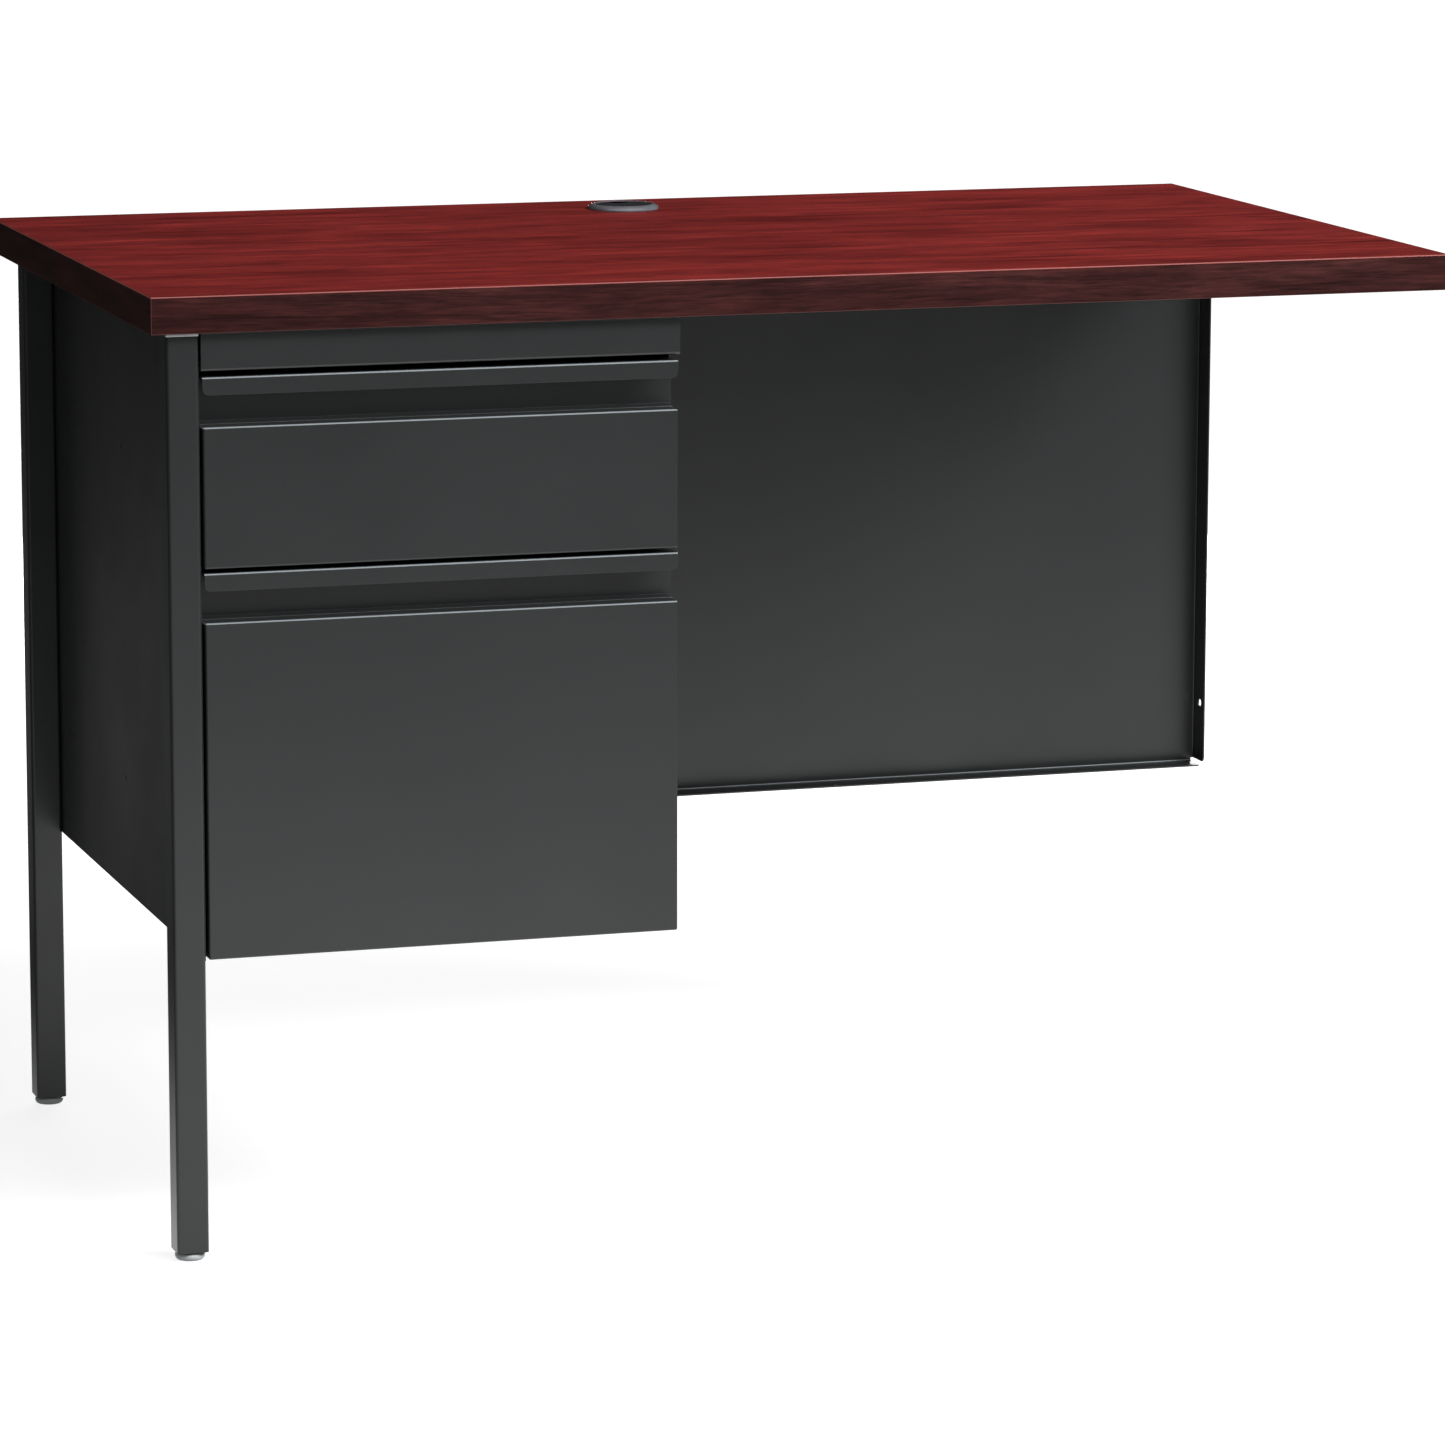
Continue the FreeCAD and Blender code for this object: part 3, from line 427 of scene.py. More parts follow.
# %% Mahogany laminate
def grained(name, reds, rough, bevel_edge_and_highlight=None, spread=1.0):
    material, tree, skin = new_material(name)
    grain = place_group(tree, grain_group, Scale=34.0)
    grain.inputs["Stretch"].default_value = (1.0, 17.0, 17.0)
    mix = arithmetic(tree, "ADD", arithmetic(tree, "MULTIPLY", grain.outputs["Streak"], 0.55),
                     arithmetic(tree, "MULTIPLY", grain.outputs["Figure"], 0.45))
    colour = ramp(tree, mix, [(0.5 - 0.16 * spread, reds[0]), (0.5, reds[1]), (0.5 + 0.15 * spread, reds[2])])
    pore_mask = stretch(tree, grain.outputs["Pore"], 0.62, 0.72, 0.0, 0.45)
    colour = blend_colour(tree, pore_mask, colour, tuple(v * 0.45 for v in reds[0]))
    patch = place_group(tree, patch_group, Scale=2.2, Low=0.9, High=1.1)
    colour = toned(tree, colour, patch.outputs["Tone"])
    broad = place_group(tree, grain_group, Scale=7.0)
    broad.inputs["Stretch"].default_value = (1.0, 5.0, 5.0)
    colour = toned(tree, colour, stretch(tree, broad.outputs["Streak"], 0.33, 0.67, 0.62, 1.32))
    # Bevelled faces are painted pale: partly the laminate's cut edge, partly a painted highlight where the
    # bevel catches the light.
    if bevel_edge_and_highlight:
        shape = add(tree, "ShaderNodeNewGeometry")
        parts = add(tree, "ShaderNodeSeparateXYZ")
        link(tree, shape.outputs["True Normal"], parts.inputs[0])
        steepest = 0.0
        for way in ("X", "Y", "Z"):
            steepest = arithmetic(tree, "MAXIMUM", arithmetic(tree, "ABSOLUTE", parts.outputs[way]), steepest)
        edge = arithmetic(tree, "LESS_THAN", steepest, 0.97)
        colour = blend_colour(tree, edge, colour, bevel_edge_and_highlight)
    link(tree, colour, skin.inputs["Base Color"])
    rough_map = stretch(tree, grain.outputs["Streak"], 0.3, 0.7, rough - 0.05, rough + 0.05)
    link(tree, rough_map, skin.inputs["Roughness"])
    bumped(tree, skin, grain.outputs["Pore"], 0.10, 0.0003)
    skin.inputs["Specular IOR Level"].default_value = 0.08
    return material


TOP_REDS = [(0.066, 0.0105, 0.0100), (0.172, 0.0205, 0.0188), (0.290, 0.0305, 0.0260)]
EDGE_REDS = [(0.018, 0.0066, 0.0062), (0.048, 0.0158, 0.0150), (0.087, 0.0250, 0.0230)]
finish = {}
finish["mahogany_laminate"] = grained("mahogany_laminate", TOP_REDS, 0.50, bevel_edge_and_highlight=(0.34, 0.13, 0.12))
finish["edge_laminate"] = grained("edge_laminate", EDGE_REDS, 0.50, bevel_edge_and_highlight=(0.15, 0.065, 0.06))
finish["backing_sheet"] = grained("backing_sheet", [(0.09, 0.05, 0.035), (0.13, 0.08, 0.055),
                                                    (0.17, 0.11, 0.08)], 0.75, spread=1.3)

# %% [markdown]
# Particleboard is pressed chips, seen only inside the holes. Cell noise gives flakes of many tones.

# %% Particleboard
board, tree, skin = new_material("particleboard")
chips = add(tree, "ShaderNodeTexVoronoi", Scale=330.0)
link(tree, own_place(tree), chips.inputs["Vector"])
chip_tone = add(tree, "ShaderNodeSeparateColor")
link(tree, chips.outputs["Color"], chip_tone.inputs[0])
chip_colour = ramp(tree, chip_tone.outputs["Red"], [(0.0, (0.20, 0.12, 0.06)), (0.5, (0.42, 0.29, 0.16)),
                                                    (1.0, (0.60, 0.45, 0.27))])
link(tree, chip_colour, skin.inputs["Base Color"])
bumped(tree, skin, chips.outputs["Distance"], 0.5, 0.0006)
skin.inputs["Roughness"].default_value = 0.9
finish["particleboard"] = board

# %% [markdown]
# The steel is sprayed with charcoal powder paint and baked. Baked powder never lies dead flat: it has
# a faint orange peel and the gloss drifts a little over a wide panel. Both come from noise, weak
# enough that the panel still reads as one colour.

# %% Charcoal paint
DARK_POWDER, LIGHT_POWDER = (0.0185, 0.0205, 0.0210), (0.0270, 0.0290, 0.0295)
# The grey of the painted highlight on the folds that face up.
FOLD_HIGHLIGHT_GREY = (0.235, 0.262, 0.275)
paint, tree, skin = new_material("charcoal_paint")
peel_skin = place_group(tree, skin_group, Peel_Scale=520.0, Peel_Depth=0.10)
patch = place_group(tree, patch_group, Scale=3.1, Low=0.90, High=1.10)
base = ramp(tree, stretch(tree, peel_skin.outputs["Speck"], 0.3, 0.7, 0.0, 1.0),
            [(0.0, DARK_POWDER), (1.0, LIGHT_POWDER)])
base = toned(tree, base, patch.outputs["Tone"])
# Folds that face up are painted paler: a painted highlight where they would catch the light from above.
shape = add(tree, "ShaderNodeNewGeometry")
parts = add(tree, "ShaderNodeSeparateXYZ")
link(tree, shape.outputs["Normal"], parts.inputs[0])
painted_fold_highlight = stretch(tree, parts.outputs["Z"], 0.15, 0.40, 0.0, 1.0)
painted_fold_highlight = arithmetic(tree, "MULTIPLY", painted_fold_highlight, stretch(tree, parts.outputs["Z"], 0.90, 0.97, 1.0, 0.0))
base = blend_colour(tree, painted_fold_highlight, base, FOLD_HIGHLIGHT_GREY)
link(tree, base, skin.inputs["Base Color"])
gloss = place_group(tree, patch_group, Scale=9.0, Low=0.30, High=0.37)
link(tree, gloss.outputs["Tone"], skin.inputs["Roughness"])
link(tree, peel_skin.outputs["Normal"], skin.inputs["Normal"])
skin.inputs["Specular IOR Level"].default_value = 0.5
finish["charcoal_paint"] = paint

# %% [markdown]
# Slides and screws are zinc plated. Zinc is bright but never a mirror: rolling leaves fine lines along
# the strip, and the plating blooms in patches.

# %% Zinc plated steel
zinc, tree, skin = new_material("zinc_steel")
drawn = vector_step(tree, "MULTIPLY", own_place(tree), (900.0, 18.0, 900.0))
lines = noise(tree, drawn, 1.0, Detail=3.0, Roughness=0.6)
bloom = place_group(tree, patch_group, Scale=38.0, Low=0.0, High=1.0)
zinc_colour = ramp(tree, bloom.outputs["Tone"], [(0.0, (0.47, 0.48, 0.50)), (1.0, (0.62, 0.63, 0.64))])
link(tree, zinc_colour, skin.inputs["Base Color"])
skin.inputs["Metallic"].default_value = 1.0
link(tree, stretch(tree, lines, 0.3, 0.7, 0.27, 0.45), skin.inputs["Roughness"])
bumped(tree, skin, lines, 0.12, 0.0002)
finish["zinc_steel"] = zinc

# %% [markdown]
# Four small plastics and a rubber share one recipe: a colour with a slight drift, a moulded skin and
# a gloss of its own.

# %% Plastics and rubber


def moulded(name, colour, rough, depth, specular=0.5):
    material, tree, skin = new_material(name)
    grainy = place_group(tree, skin_group, Peel_Scale=700.0, Peel_Depth=depth)
    patch = place_group(tree, patch_group, Scale=60.0, Low=0.9, High=1.1)
    link(tree, toned(tree, colour, patch.outputs["Tone"]), skin.inputs["Base Color"])
    link(tree, stretch(tree, grainy.outputs["Speck"], 0.3, 0.7, rough - 0.04, rough + 0.04),
         skin.inputs["Roughness"])
    link(tree, grainy.outputs["Normal"], skin.inputs["Normal"])
    skin.inputs["Specular IOR Level"].default_value = specular
    return material


finish["liner_plastic"] = moulded("liner_plastic", (0.13, 0.13, 0.15), 0.24, 0.05)
finish["cap_plastic"] = moulded("cap_plastic", (0.022, 0.022, 0.025), 0.42, 0.25)
finish["insert_plastic"] = moulded("insert_plastic", (0.018, 0.018, 0.018), 0.5, 0.15)
finish["foot_nylon"] = moulded("foot_nylon", (0.62, 0.64, 0.65), 0.38, 0.08)
finish["bumper_rubber"] = moulded("bumper_rubber", (0.02, 0.02, 0.021), 0.75, 0.3, specular=0.3)
print("finishes", sorted(finish))

# %% Dress every CAD node with the finish of its slot
slot_of = {row["node"]: row["material_slot"] for row in frame["record"]["subparts"]}
for name, node in nodes.items():
    for slot in node.material_slots:
        slot.material = finish[slot_of[name]]
    if not node.material_slots:
        node.data.materials.append(finish[slot_of[name]])
print("dressed", len(nodes), "nodes")

# %% [markdown]
# ## Making the detailed pieces
# The CAD pieces have the right sizes but bare corners. Folded sheet shows itself by its rounded folds,
# its thin cut edges and its open corners, so each visible piece is made again here the way a folder
# would make it: draw the line of the profile, pull it into a sheet, round the folds, and only then
# give it a thickness. Starting from a thick block and hollowing it would leave uneven walls.

# %% Helpers: selecting
MM = 0.001


def leave():
    """Back to object mode."""
    bpy.ops.object.mode_set(mode="OBJECT")


def only(piece):
    """Leave just this piece selected and active, in object mode."""
    if bpy.context.object and bpy.context.object.mode != "OBJECT":
        leave()
    bpy.ops.object.select_all(action="DESELECT")
    piece.select_set(True)
    bpy.context.view_layer.objects.active = piece


def choose(piece, kind, test):
    """Go to edit mode with the faces, edges or corners selected that pass a test of middle and way."""
    only(piece)
    bpy.ops.object.mode_set(mode="EDIT")
    bpy.ops.mesh.select_mode(type=kind)
    bpy.ops.mesh.select_all(action="DESELECT")
    leave()
    mesh = piece.data
    if kind == "FACE":
        for face in mesh.polygons:
            face.select = bool(test(face.center, face.normal))
    elif kind == "EDGE":
        for edge in mesh.edges:
            start, end = (mesh.vertices[i].co for i in edge.vertices)
            edge.select = bool(test((start + end) / 2, end - start))
    else:
        for corner in mesh.vertices:
            corner.select = bool(test(corner.co, corner.normal))
    bpy.ops.object.mode_set(mode="EDIT")


def choose_all(piece):
    """Go to edit mode with everything selected."""
    only(piece)
    bpy.ops.object.mode_set(mode="EDIT")
    bpy.ops.mesh.select_all(action="SELECT")


def near(a, b, room=0.15 * MM):
    return abs(a - b) < room


# %% Helpers: starting shapes
def start_shape(name, add_shape, place, stretch_by=(1, 1, 1), turned=(0, 0, 0), **settings):
    """Add a primitive, stretch and turn it, and apply its place to its mesh."""
    bpy.ops.object.select_all(action="DESELECT")
    add_shape(location=place, rotation=turned, **settings)
    piece = bpy.context.object
    piece.scale = stretch_by
    piece.name = name
    bpy.ops.object.transform_apply(location=True, rotation=True, scale=True)
    return piece


def start_plane(name, place, size, turned=(0, 0, 0)):
    return start_shape(name, bpy.ops.mesh.primitive_plane_add, place, size, turned, size=1)


def start_block(name, place, size):
    return start_shape(name, bpy.ops.mesh.primitive_cube_add, place, size, size=1)


def start_rod(name, place, radius, depth, sides, turned=(0, 0, 0)):
    return start_shape(name, bpy.ops.mesh.primitive_cylinder_add, place, turned=turned,
                       vertices=sides, radius=radius, depth=depth)


# %% Helpers: drawing a profile and pulling it
def edge_path(name, points, closed=False):
    """A line through the points, drawn by extruding one corner of a plane."""
    points = [Vector(p) for p in points]
    piece = start_plane(name, points[0], (MM, MM, 1))
    bpy.ops.object.mode_set(mode="EDIT")
    bpy.ops.mesh.select_mode(type="VERT")
    bpy.ops.mesh.select_all(action="SELECT")
    bpy.ops.mesh.merge(type="CENTER")
    for here, there in zip(points, points[1:]):
        bpy.ops.mesh.extrude_vertices_move(TRANSFORM_OT_translate={"value": there - here})
    if closed:
        ends = (points[0], points[-1])
        choose(piece, "VERT", lambda place, way: min((place - end).length for end in ends) < 0.01 * MM)
        bpy.ops.mesh.edge_face_add()
    leave()
    return piece


def pull(piece, move):
    """Extrude all the edges of a line into a sheet."""
    only(piece)
    bpy.ops.object.mode_set(mode="EDIT")
    bpy.ops.mesh.select_mode(type="EDGE")
    bpy.ops.mesh.select_all(action="SELECT")
    bpy.ops.mesh.extrude_edges_move(TRANSFORM_OT_translate={"value": move})
    leave()


def pull_edges(piece, test, move):
    """Extrude only the edges that pass the test."""
    choose(piece, "EDGE", test)
    bpy.ops.mesh.extrude_edges_move(TRANSFORM_OT_translate={"value": move})
    leave()


def bevel_edges(piece, test, radius, segments):
    """Round the edges that pass the test."""
    choose(piece, "EDGE", test)
    bpy.ops.mesh.bevel(offset=radius, segments=segments, affect="EDGES")
    leave()


def round_corners(piece, test, radius, segments=5):
    """Round free corners of a sheet."""
    choose(piece, "VERT", test)
    bpy.ops.mesh.bevel(offset=radius, affect="VERTICES", segments=segments)
    leave()


def turn_round(piece, centre, steps):
    """Spin a profile about an upright axis and close the seam."""
    choose_all(piece)
    bpy.ops.mesh.spin(steps=steps, angle=2 * math.pi, center=centre, axis=(0, 0, 1))
    bpy.ops.mesh.select_all(action="SELECT")
    bpy.ops.mesh.remove_doubles(threshold=0.01 * MM)
    bpy.ops.mesh.normals_make_consistent(inside=False)
    leave()


# %% Helpers: folds, gauge and finish
def use_modifier(piece, kind, **settings):
    only(piece)
    modifier = piece.modifiers.new(kind.lower(), kind)
    for key, value in settings.items():
        setattr(modifier, key, value)
    bpy.ops.object.modifier_apply(modifier=modifier.name)


def round_folds(piece, radius, segments=4, angle=35):
    use_modifier(piece, "BEVEL", width=radius, segments=segments, limit_method="ANGLE",
                 angle_limit=math.radians(angle))


def face_out(piece, out):
    """Turn the sheet's normals so that its outermost face looks along out."""
    out = Vector(out)
    choose_all(piece)
    bpy.ops.mesh.normals_make_consistent(inside=False)
    leave()
    square_on = [f for f in piece.data.polygons if abs(f.normal.dot(out)) > 0.9]
    outermost = max(square_on, key=lambda f: f.center.dot(out))
    if outermost.normal.dot(out) < 0:
        bpy.ops.object.mode_set(mode="EDIT")
        bpy.ops.mesh.select_all(action="SELECT")
        bpy.ops.mesh.flip_normals()
        leave()


def give_gauge(piece, gauge, out, ease=0.28 * MM):
    """Thicken a surface inwards and ease its cut edges; out is the way that its outermost face looks."""
    face_out(piece, out)
    use_modifier(piece, "SOLIDIFY", thickness=gauge, offset=-1.0, use_even_offset=True)
    round_folds(piece, ease, segments=2, angle=60)


def cut_away(piece, *tools):
    """Cut holes with temporary shapes."""
    for tool in tools:
        use_modifier(piece, "BOOLEAN", operation="DIFFERENCE", object=tool, solver="EXACT")
        bpy.data.objects.remove(tool)


rides_on = {node: body for body, held in frame["record"]["behaviour"]["bodies"].items() for node in held}
made = []


def finish_piece(piece, *cad_nodes, smooth=32):
    """Shade a piece, dress it, and let it stand for its CAD nodes."""
    only(piece)
    bpy.ops.object.transform_apply(location=True, rotation=True, scale=True)
    bpy.ops.object.shade_smooth_by_angle(angle=math.radians(smooth))
    use_modifier(piece, "WEIGHTED_NORMAL", keep_sharp=True, weight=60)
    slot = slot_of[cad_nodes[0]]
    piece.data.materials.clear()
    piece.data.materials.append(finish[slot])
    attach(piece, rides_on[cad_nodes[0]])
    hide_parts(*cad_nodes)
    made.append(piece.name)
    return piece


def span(node):
    """A CAD node's lowest and highest corners."""
    low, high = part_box(node)
    return Vector(low), Vector(high)


print("helpers ready")

# %% [markdown]
# ## Drawer fronts
# A drawer front is two sheets. The outer skin is a shallow tray: its rim is folded back all round, and
# the top of the rim is a ledge that ends in a small upturned edge. Extruding the rim of one plane gives
# all four walls in one go with closed corners.

# %% Outer skins
SKIN_GAUGE = 1.0 * MM
SKIN_FOLD = 1.6 * MM
SHEET_GAUGE = 1.2 * MM
SHEET_FOLD = 2.2 * MM


def drawer_skin(node, upstand=3.0 * MM):
    low, high = span(node)
    ledge = high.z - upstand
    middle = ((low.x + high.x) / 2, low.y, (low.z + ledge) / 2)
    piece = start_plane(node + "_detailed", middle, (high.x - low.x, ledge - low.z, 1), (math.pi / 2, 0, 0))
    depth = high.y - low.y
    pull_edges(piece, lambda place, way: True, (0, depth - SKIN_GAUGE, 0))
    rear = low.y + depth - SKIN_GAUGE
    pull_edges(piece, lambda place, way: near(place.y, rear) and not near(place.z, ledge), (0, SKIN_GAUGE, 0))
    pull_edges(piece, lambda place, way: near(place.y, rear) and near(place.z, ledge) and abs(way.x) > 0.1,
               (0, 0, upstand))
    bevel_edges(piece, lambda place, way: (near(place.y, low.y) or near(abs(way.y), depth - SKIN_GAUGE) or
                                           (near(place.y, rear) and near(place.z, ledge) and abs(way.x) > 0.1)),
                SKIN_FOLD, 4)
    give_gauge(piece, SKIN_GAUGE, (0, -1, 0))
    return finish_piece(piece, node)


for drawer in ("box", "file"):
    skin_piece = drawer_skin(f"{drawer}_drawer_face")
    print(skin_piece.name, len(skin_piece.data.polygons), "faces")

# %% [markdown]
# The inner sheet closes the back of the front and makes the pull. Its head folds forward as a roof and
# down as a lip with rounded lower corners, so a hand reaches under the lip. It is one line pulled
# sideways, with the two free corners of the lip rounded before the sheet gets its thickness.

# %% Inner fronts with their pulls
LIP_CORNER = 5.0 * MM


def pull_sheet(node, lip_height=13.8 * MM):
    low, high = span(node)
    lip_low = high.z - lip_height
    line = [(low.x, high.y, low.z), (low.x, high.y, high.z), (low.x, low.y, high.z), (low.x, low.y, lip_low)]
    piece = edge_path(node + "_detailed", line)
    pull(piece, (high.x - low.x, 0, 0))
    round_corners(piece, lambda place, way: near(place.y, low.y) and near(place.z, lip_low), LIP_CORNER, 7)
    round_folds(piece, SKIN_FOLD)
    give_gauge(piece, SKIN_GAUGE, (0, -1, 0))
    return finish_piece(piece, node)


for drawer in ("box", "file"):
    print(pull_sheet(f"{drawer}_drawer_inner_front").name)

# %% [markdown]
# ## Drawer boxes
# Each tray is one sheet folded into a U, and the back wall is a second sheet with a turned top edge.

# %% Trays and backs
def u_tray(node):
    low, high = span(node)
    line = [(low.x, low.y, high.z), (low.x, low.y, low.z), (high.x, low.y, low.z), (high.x, low.y, high.z)]
    piece = edge_path(node + "_detailed", line)
    pull(piece, (0, high.y - low.y, 0))
    round_folds(piece, SHEET_FOLD)
    give_gauge(piece, SKIN_GAUGE, (0, 0, -1))
    return finish_piece(piece, node)


def back_wall(node):
    low, high = span(node)
    line = [(low.x, low.y, high.z), (low.x, high.y, high.z), (low.x, high.y, low.z)]
    piece = edge_path(node + "_detailed", line)
    pull(piece, (high.x - low.x, 0, 0))
    round_corners(piece, lambda place, way: near(place.z, low.z), 1.5 * MM, 3)
    round_folds(piece, SKIN_FOLD)
    give_gauge(piece, SKIN_GAUGE, (0, 1, 0))
    return finish_piece(piece, node)


for drawer in ("box", "file"):
    print(u_tray(f"{drawer}_drawer_tray").name, back_wall(f"{drawer}_drawer_back").name)

# %% [markdown]
# ## Rails of the case
# The rail above the drawers is an apron: a flange that is screwed under the worktop, a face level with
# the drawers, and a return that curls in along its lower edge. The mid rail is a plain channel and the
# rear stretcher an angle. All three are lines pulled from left to right.

# %% Three rails
def rail(node, corners, out):
    """corners are (y, z) places along the outside of the profile."""
    low, high = span(node)
    piece = edge_path(node + "_detailed", [(low.x, y, z) for y, z in corners])
    pull(piece, (high.x - low.x, 0, 0))
    round_folds(piece, SHEET_FOLD, segments=5)
    give_gauge(piece, SHEET_GAUGE, out)
    return finish_piece(piece, node)


low, high = span("top_rail")
RETURN_DEPTH = 12 * MM
RETURN_UPSTAND = 6 * MM
rail("top_rail", [(high.y, high.z), (low.y, high.z), (low.y, low.z), (low.y + RETURN_DEPTH, low.z),
                  (low.y + RETURN_DEPTH, low.z + RETURN_UPSTAND)], (0, -1, 0))
low, high = span("mid_rail")
rail("mid_rail", [(high.y, low.z), (low.y, low.z), (low.y, high.z), (high.y, high.z)], (0, -1, 0))
low, high = span("rear_stretcher")
rail("rear_stretcher", [(low.y, high.z), (high.y, high.z), (high.y, low.z)], (0, 1, 0))
print("rails", made[-3:])

# %% [markdown]
# ## Legs
# A leg is drawn square tube: flat sides, small round corners and a thin wall. A plane whose corners are
# rounded and whose face is deleted leaves just the outline to pull upwards.

# %% Square tube
TUBE_WALL = 1.6 * MM
TUBE_CORNER = 2.6 * MM


def square_tube(node):
    low, high = span(node)
    middle = (low + high) / 2
    width = high.x - low.x
    piece = start_plane(node + "_detailed", (middle.x, middle.y, low.z), (width, width, 1))
    round_corners(piece, lambda place, way: True, TUBE_CORNER, 6)
    choose_all(piece)
    bpy.ops.mesh.delete(type="ONLY_FACE")
    leave()
    pull(piece, (0, 0, high.z - low.z))
    give_gauge(piece, TUBE_WALL, (0, -1, 0))
    return finish_piece(piece, node)


for end in ("front", "rear"):
    print(square_tube(f"{end}_left_leg").name)

# %% [markdown]
# ## Levelling glides
# Each leg stands on a nylon foot on a threaded stud. Both are turned parts, so half of the profile is
# drawn and spun. The thread is a stack of rings, because at this size its slope can't be seen.

# %% Feet and studs
def turned_piece(node, outline, steps, extra=()):
    """outline is (radius, height) places in metres, from the bottom of the axis to its top."""
    low, high = span(node)
    middle = (low + high) / 2
    line = [(middle.x + radius, middle.y, height) for radius, height in outline]
    piece = edge_path(node + "_detailed", line, closed=outline[0][0] > 0)
    turn_round(piece, (middle.x, middle.y, 0), steps)
    return finish_piece(piece, node, *extra, smooth=40)


THREAD_PITCH = 1.25 * MM
THREAD_DEPTH = 0.55 * MM
for end in ("front", "rear"):
    low, high = span(f"{end}_glide_foot")
    r, h = (high.x - low.x) / 2, high.z - low.z
    foot = [(0, 0), (r - 3.0 * MM, 0), (r - 1.7 * MM, 0.25 * MM), (r - 0.8 * MM, 1.0 * MM),
            (r - 0.2 * MM, 2.0 * MM), (r, 3.1 * MM), (r - 0.1 * MM, 4.2 * MM), (r - 0.5 * MM, 5.0 * MM),
            (r - 1.3 * MM, h - 0.2 * MM), (r - 2.3 * MM, h), (6.6 * MM, h), (6.2 * MM, h - 0.35 * MM),
            (0, h - 0.35 * MM)]
    turned_piece(f"{end}_glide_foot", foot, 48)
    low, high = span(f"{end}_glide_stud")
    r = (high.x - low.x) / 2
    stud = [(0, low.z - 0.3 * MM), (r - THREAD_DEPTH, low.z - 0.3 * MM)]
    level = low.z
    while level < high.z - 2 * THREAD_PITCH:
        stud += [(r - THREAD_DEPTH, level), (r, level + THREAD_PITCH * 0.5)]
        level += THREAD_PITCH
    stud += [(r - THREAD_DEPTH, level), (r - 1.3 * MM, high.z), (0, high.z)]
    stud_piece = turned_piece(f"{end}_glide_stud", stud, 24)
    print(stud_piece.name, len(stud_piece.data.polygons), "faces")

# %% [markdown]
# ## Cable grommet
# The grommet is a moulded sleeve with a domed rim, and a cap that drops into it and leaves a notch for
# the cables at the back. The sleeve is a spun profile. The cap is a thin disc with the notch cut out
# and a shallow dish in its face, the way such caps are moulded to stay flat.

# %% Sleeve
def by_rim(radius, height):
    return (radius * MM, worktop_top + height * MM)


worktop_top = span("worktop_laminate")[1].z
sleeve_line = [by_rim(*p) for p in (
    (23.0, -22.0), (24.9, -22.0), (25.3, -21.6), (25.3, -0.02), (30.3, -0.02), (30.5, 0.35), (30.4, 1.0),
    (30.0, 1.9), (29.2, 2.8), (28.2, 3.5), (27.2, 4.05), (26.3, 4.33), (25.6, 4.4), (25.0, 4.35),
    (24.5, 4.1), (24.25, 3.7), (24.2, 1.9), (23.9, 1.6), (23.1, 0.85), (23.0, 0.5))]
turned_piece("grommet_liner", sleeve_line, 96)

# %% Cap
low, high = span("grommet_cap")
liner_low, liner_high = span("grommet_liner")
grommet_middle = (liner_low + liner_high) / 2
cap_radius = (high.x - low.x) / 2
cap = start_rod("grommet_cap_detailed", (grommet_middle.x, grommet_middle.y, (low.z + high.z) / 2), cap_radius,
                high.z - low.z, 96)
NOTCH_WIDTH, NOTCH_DEPTH, NOTCH_ROUND = 17 * MM, 14 * MM, 7.5 * MM
notch_front = grommet_middle.y + 23 * MM - NOTCH_DEPTH
notch_length = 20 * MM
notch = start_block("notch_cutter", (grommet_middle.x, notch_front + notch_length / 2, high.z),
                    (NOTCH_WIDTH, notch_length, 10 * MM))
bevel_edges(notch, lambda place, way: near(place.y, notch_front) and abs(way.z) > MM, NOTCH_ROUND, 8)
cut_away(cap, notch)
choose(cap, "FACE", lambda place, way: way.z > 0.9)
bpy.ops.mesh.inset(thickness=1.6 * MM)
bpy.ops.mesh.inset(thickness=0.8 * MM)
bpy.ops.transform.translate(value=(0, 0, -0.35 * MM))
leave()
bevel_edges(cap, lambda place, way: near(place.z, high.z) and
            ((place.xy - grommet_middle.xy).length > cap_radius - 0.3 * MM or
             (place.y > notch_front - 0.3 * MM and
              abs(place.x - grommet_middle.x) < NOTCH_WIDTH / 2 + 0.05 * MM)), 0.5 * MM, 3)
finish_piece(cap, "grommet_cap")
print("cap", len(cap.data.polygons), "faces")

# %% [markdown]
# ## Modesty panel
# The long panel behind the knees is one sheet with flanges folded forward on every side. At the lower
# right the corner is slit so that both flanges can fold, and the free corners are rounded. The plane is
# first cut into strips, so that each flange starts and stops where the real one does.

# %% Panel sheet and its flanges
FLANGE = 25.4 * MM
CORNER_SLIT = 2.2 * MM
FLANGE_CORNER = 4.5 * MM
TOP_FLANGE = 19 * MM
GROMMET_GAP = 36 * MM

low, high = span("modesty_panel")
worktop_right = span("worktop_laminate")[1].x
middle = (low + high) / 2
panel = start_plane("modesty_panel_detailed", (middle.x, high.y, middle.z), (high.x - low.x, high.z - low.z, 1),
                    (-math.pi / 2, 0, 0))
slit_x = high.x - SHEET_GAUGE - CORNER_SLIT
slit_z = low.z + SHEET_GAUGE + CORNER_SLIT
top_start, top_end = low.x + SHEET_GAUGE + 1 * MM, worktop_right - 3 * MM
gap_start, gap_end = grommet_middle.x - GROMMET_GAP, grommet_middle.x + GROMMET_GAP
side_start, side_end = low.z + 25 * MM, high.z - 30 * MM


def slice_at(piece, place, way):
    choose_all(piece)
    bpy.ops.mesh.bisect(plane_co=place, plane_no=way)
    leave()


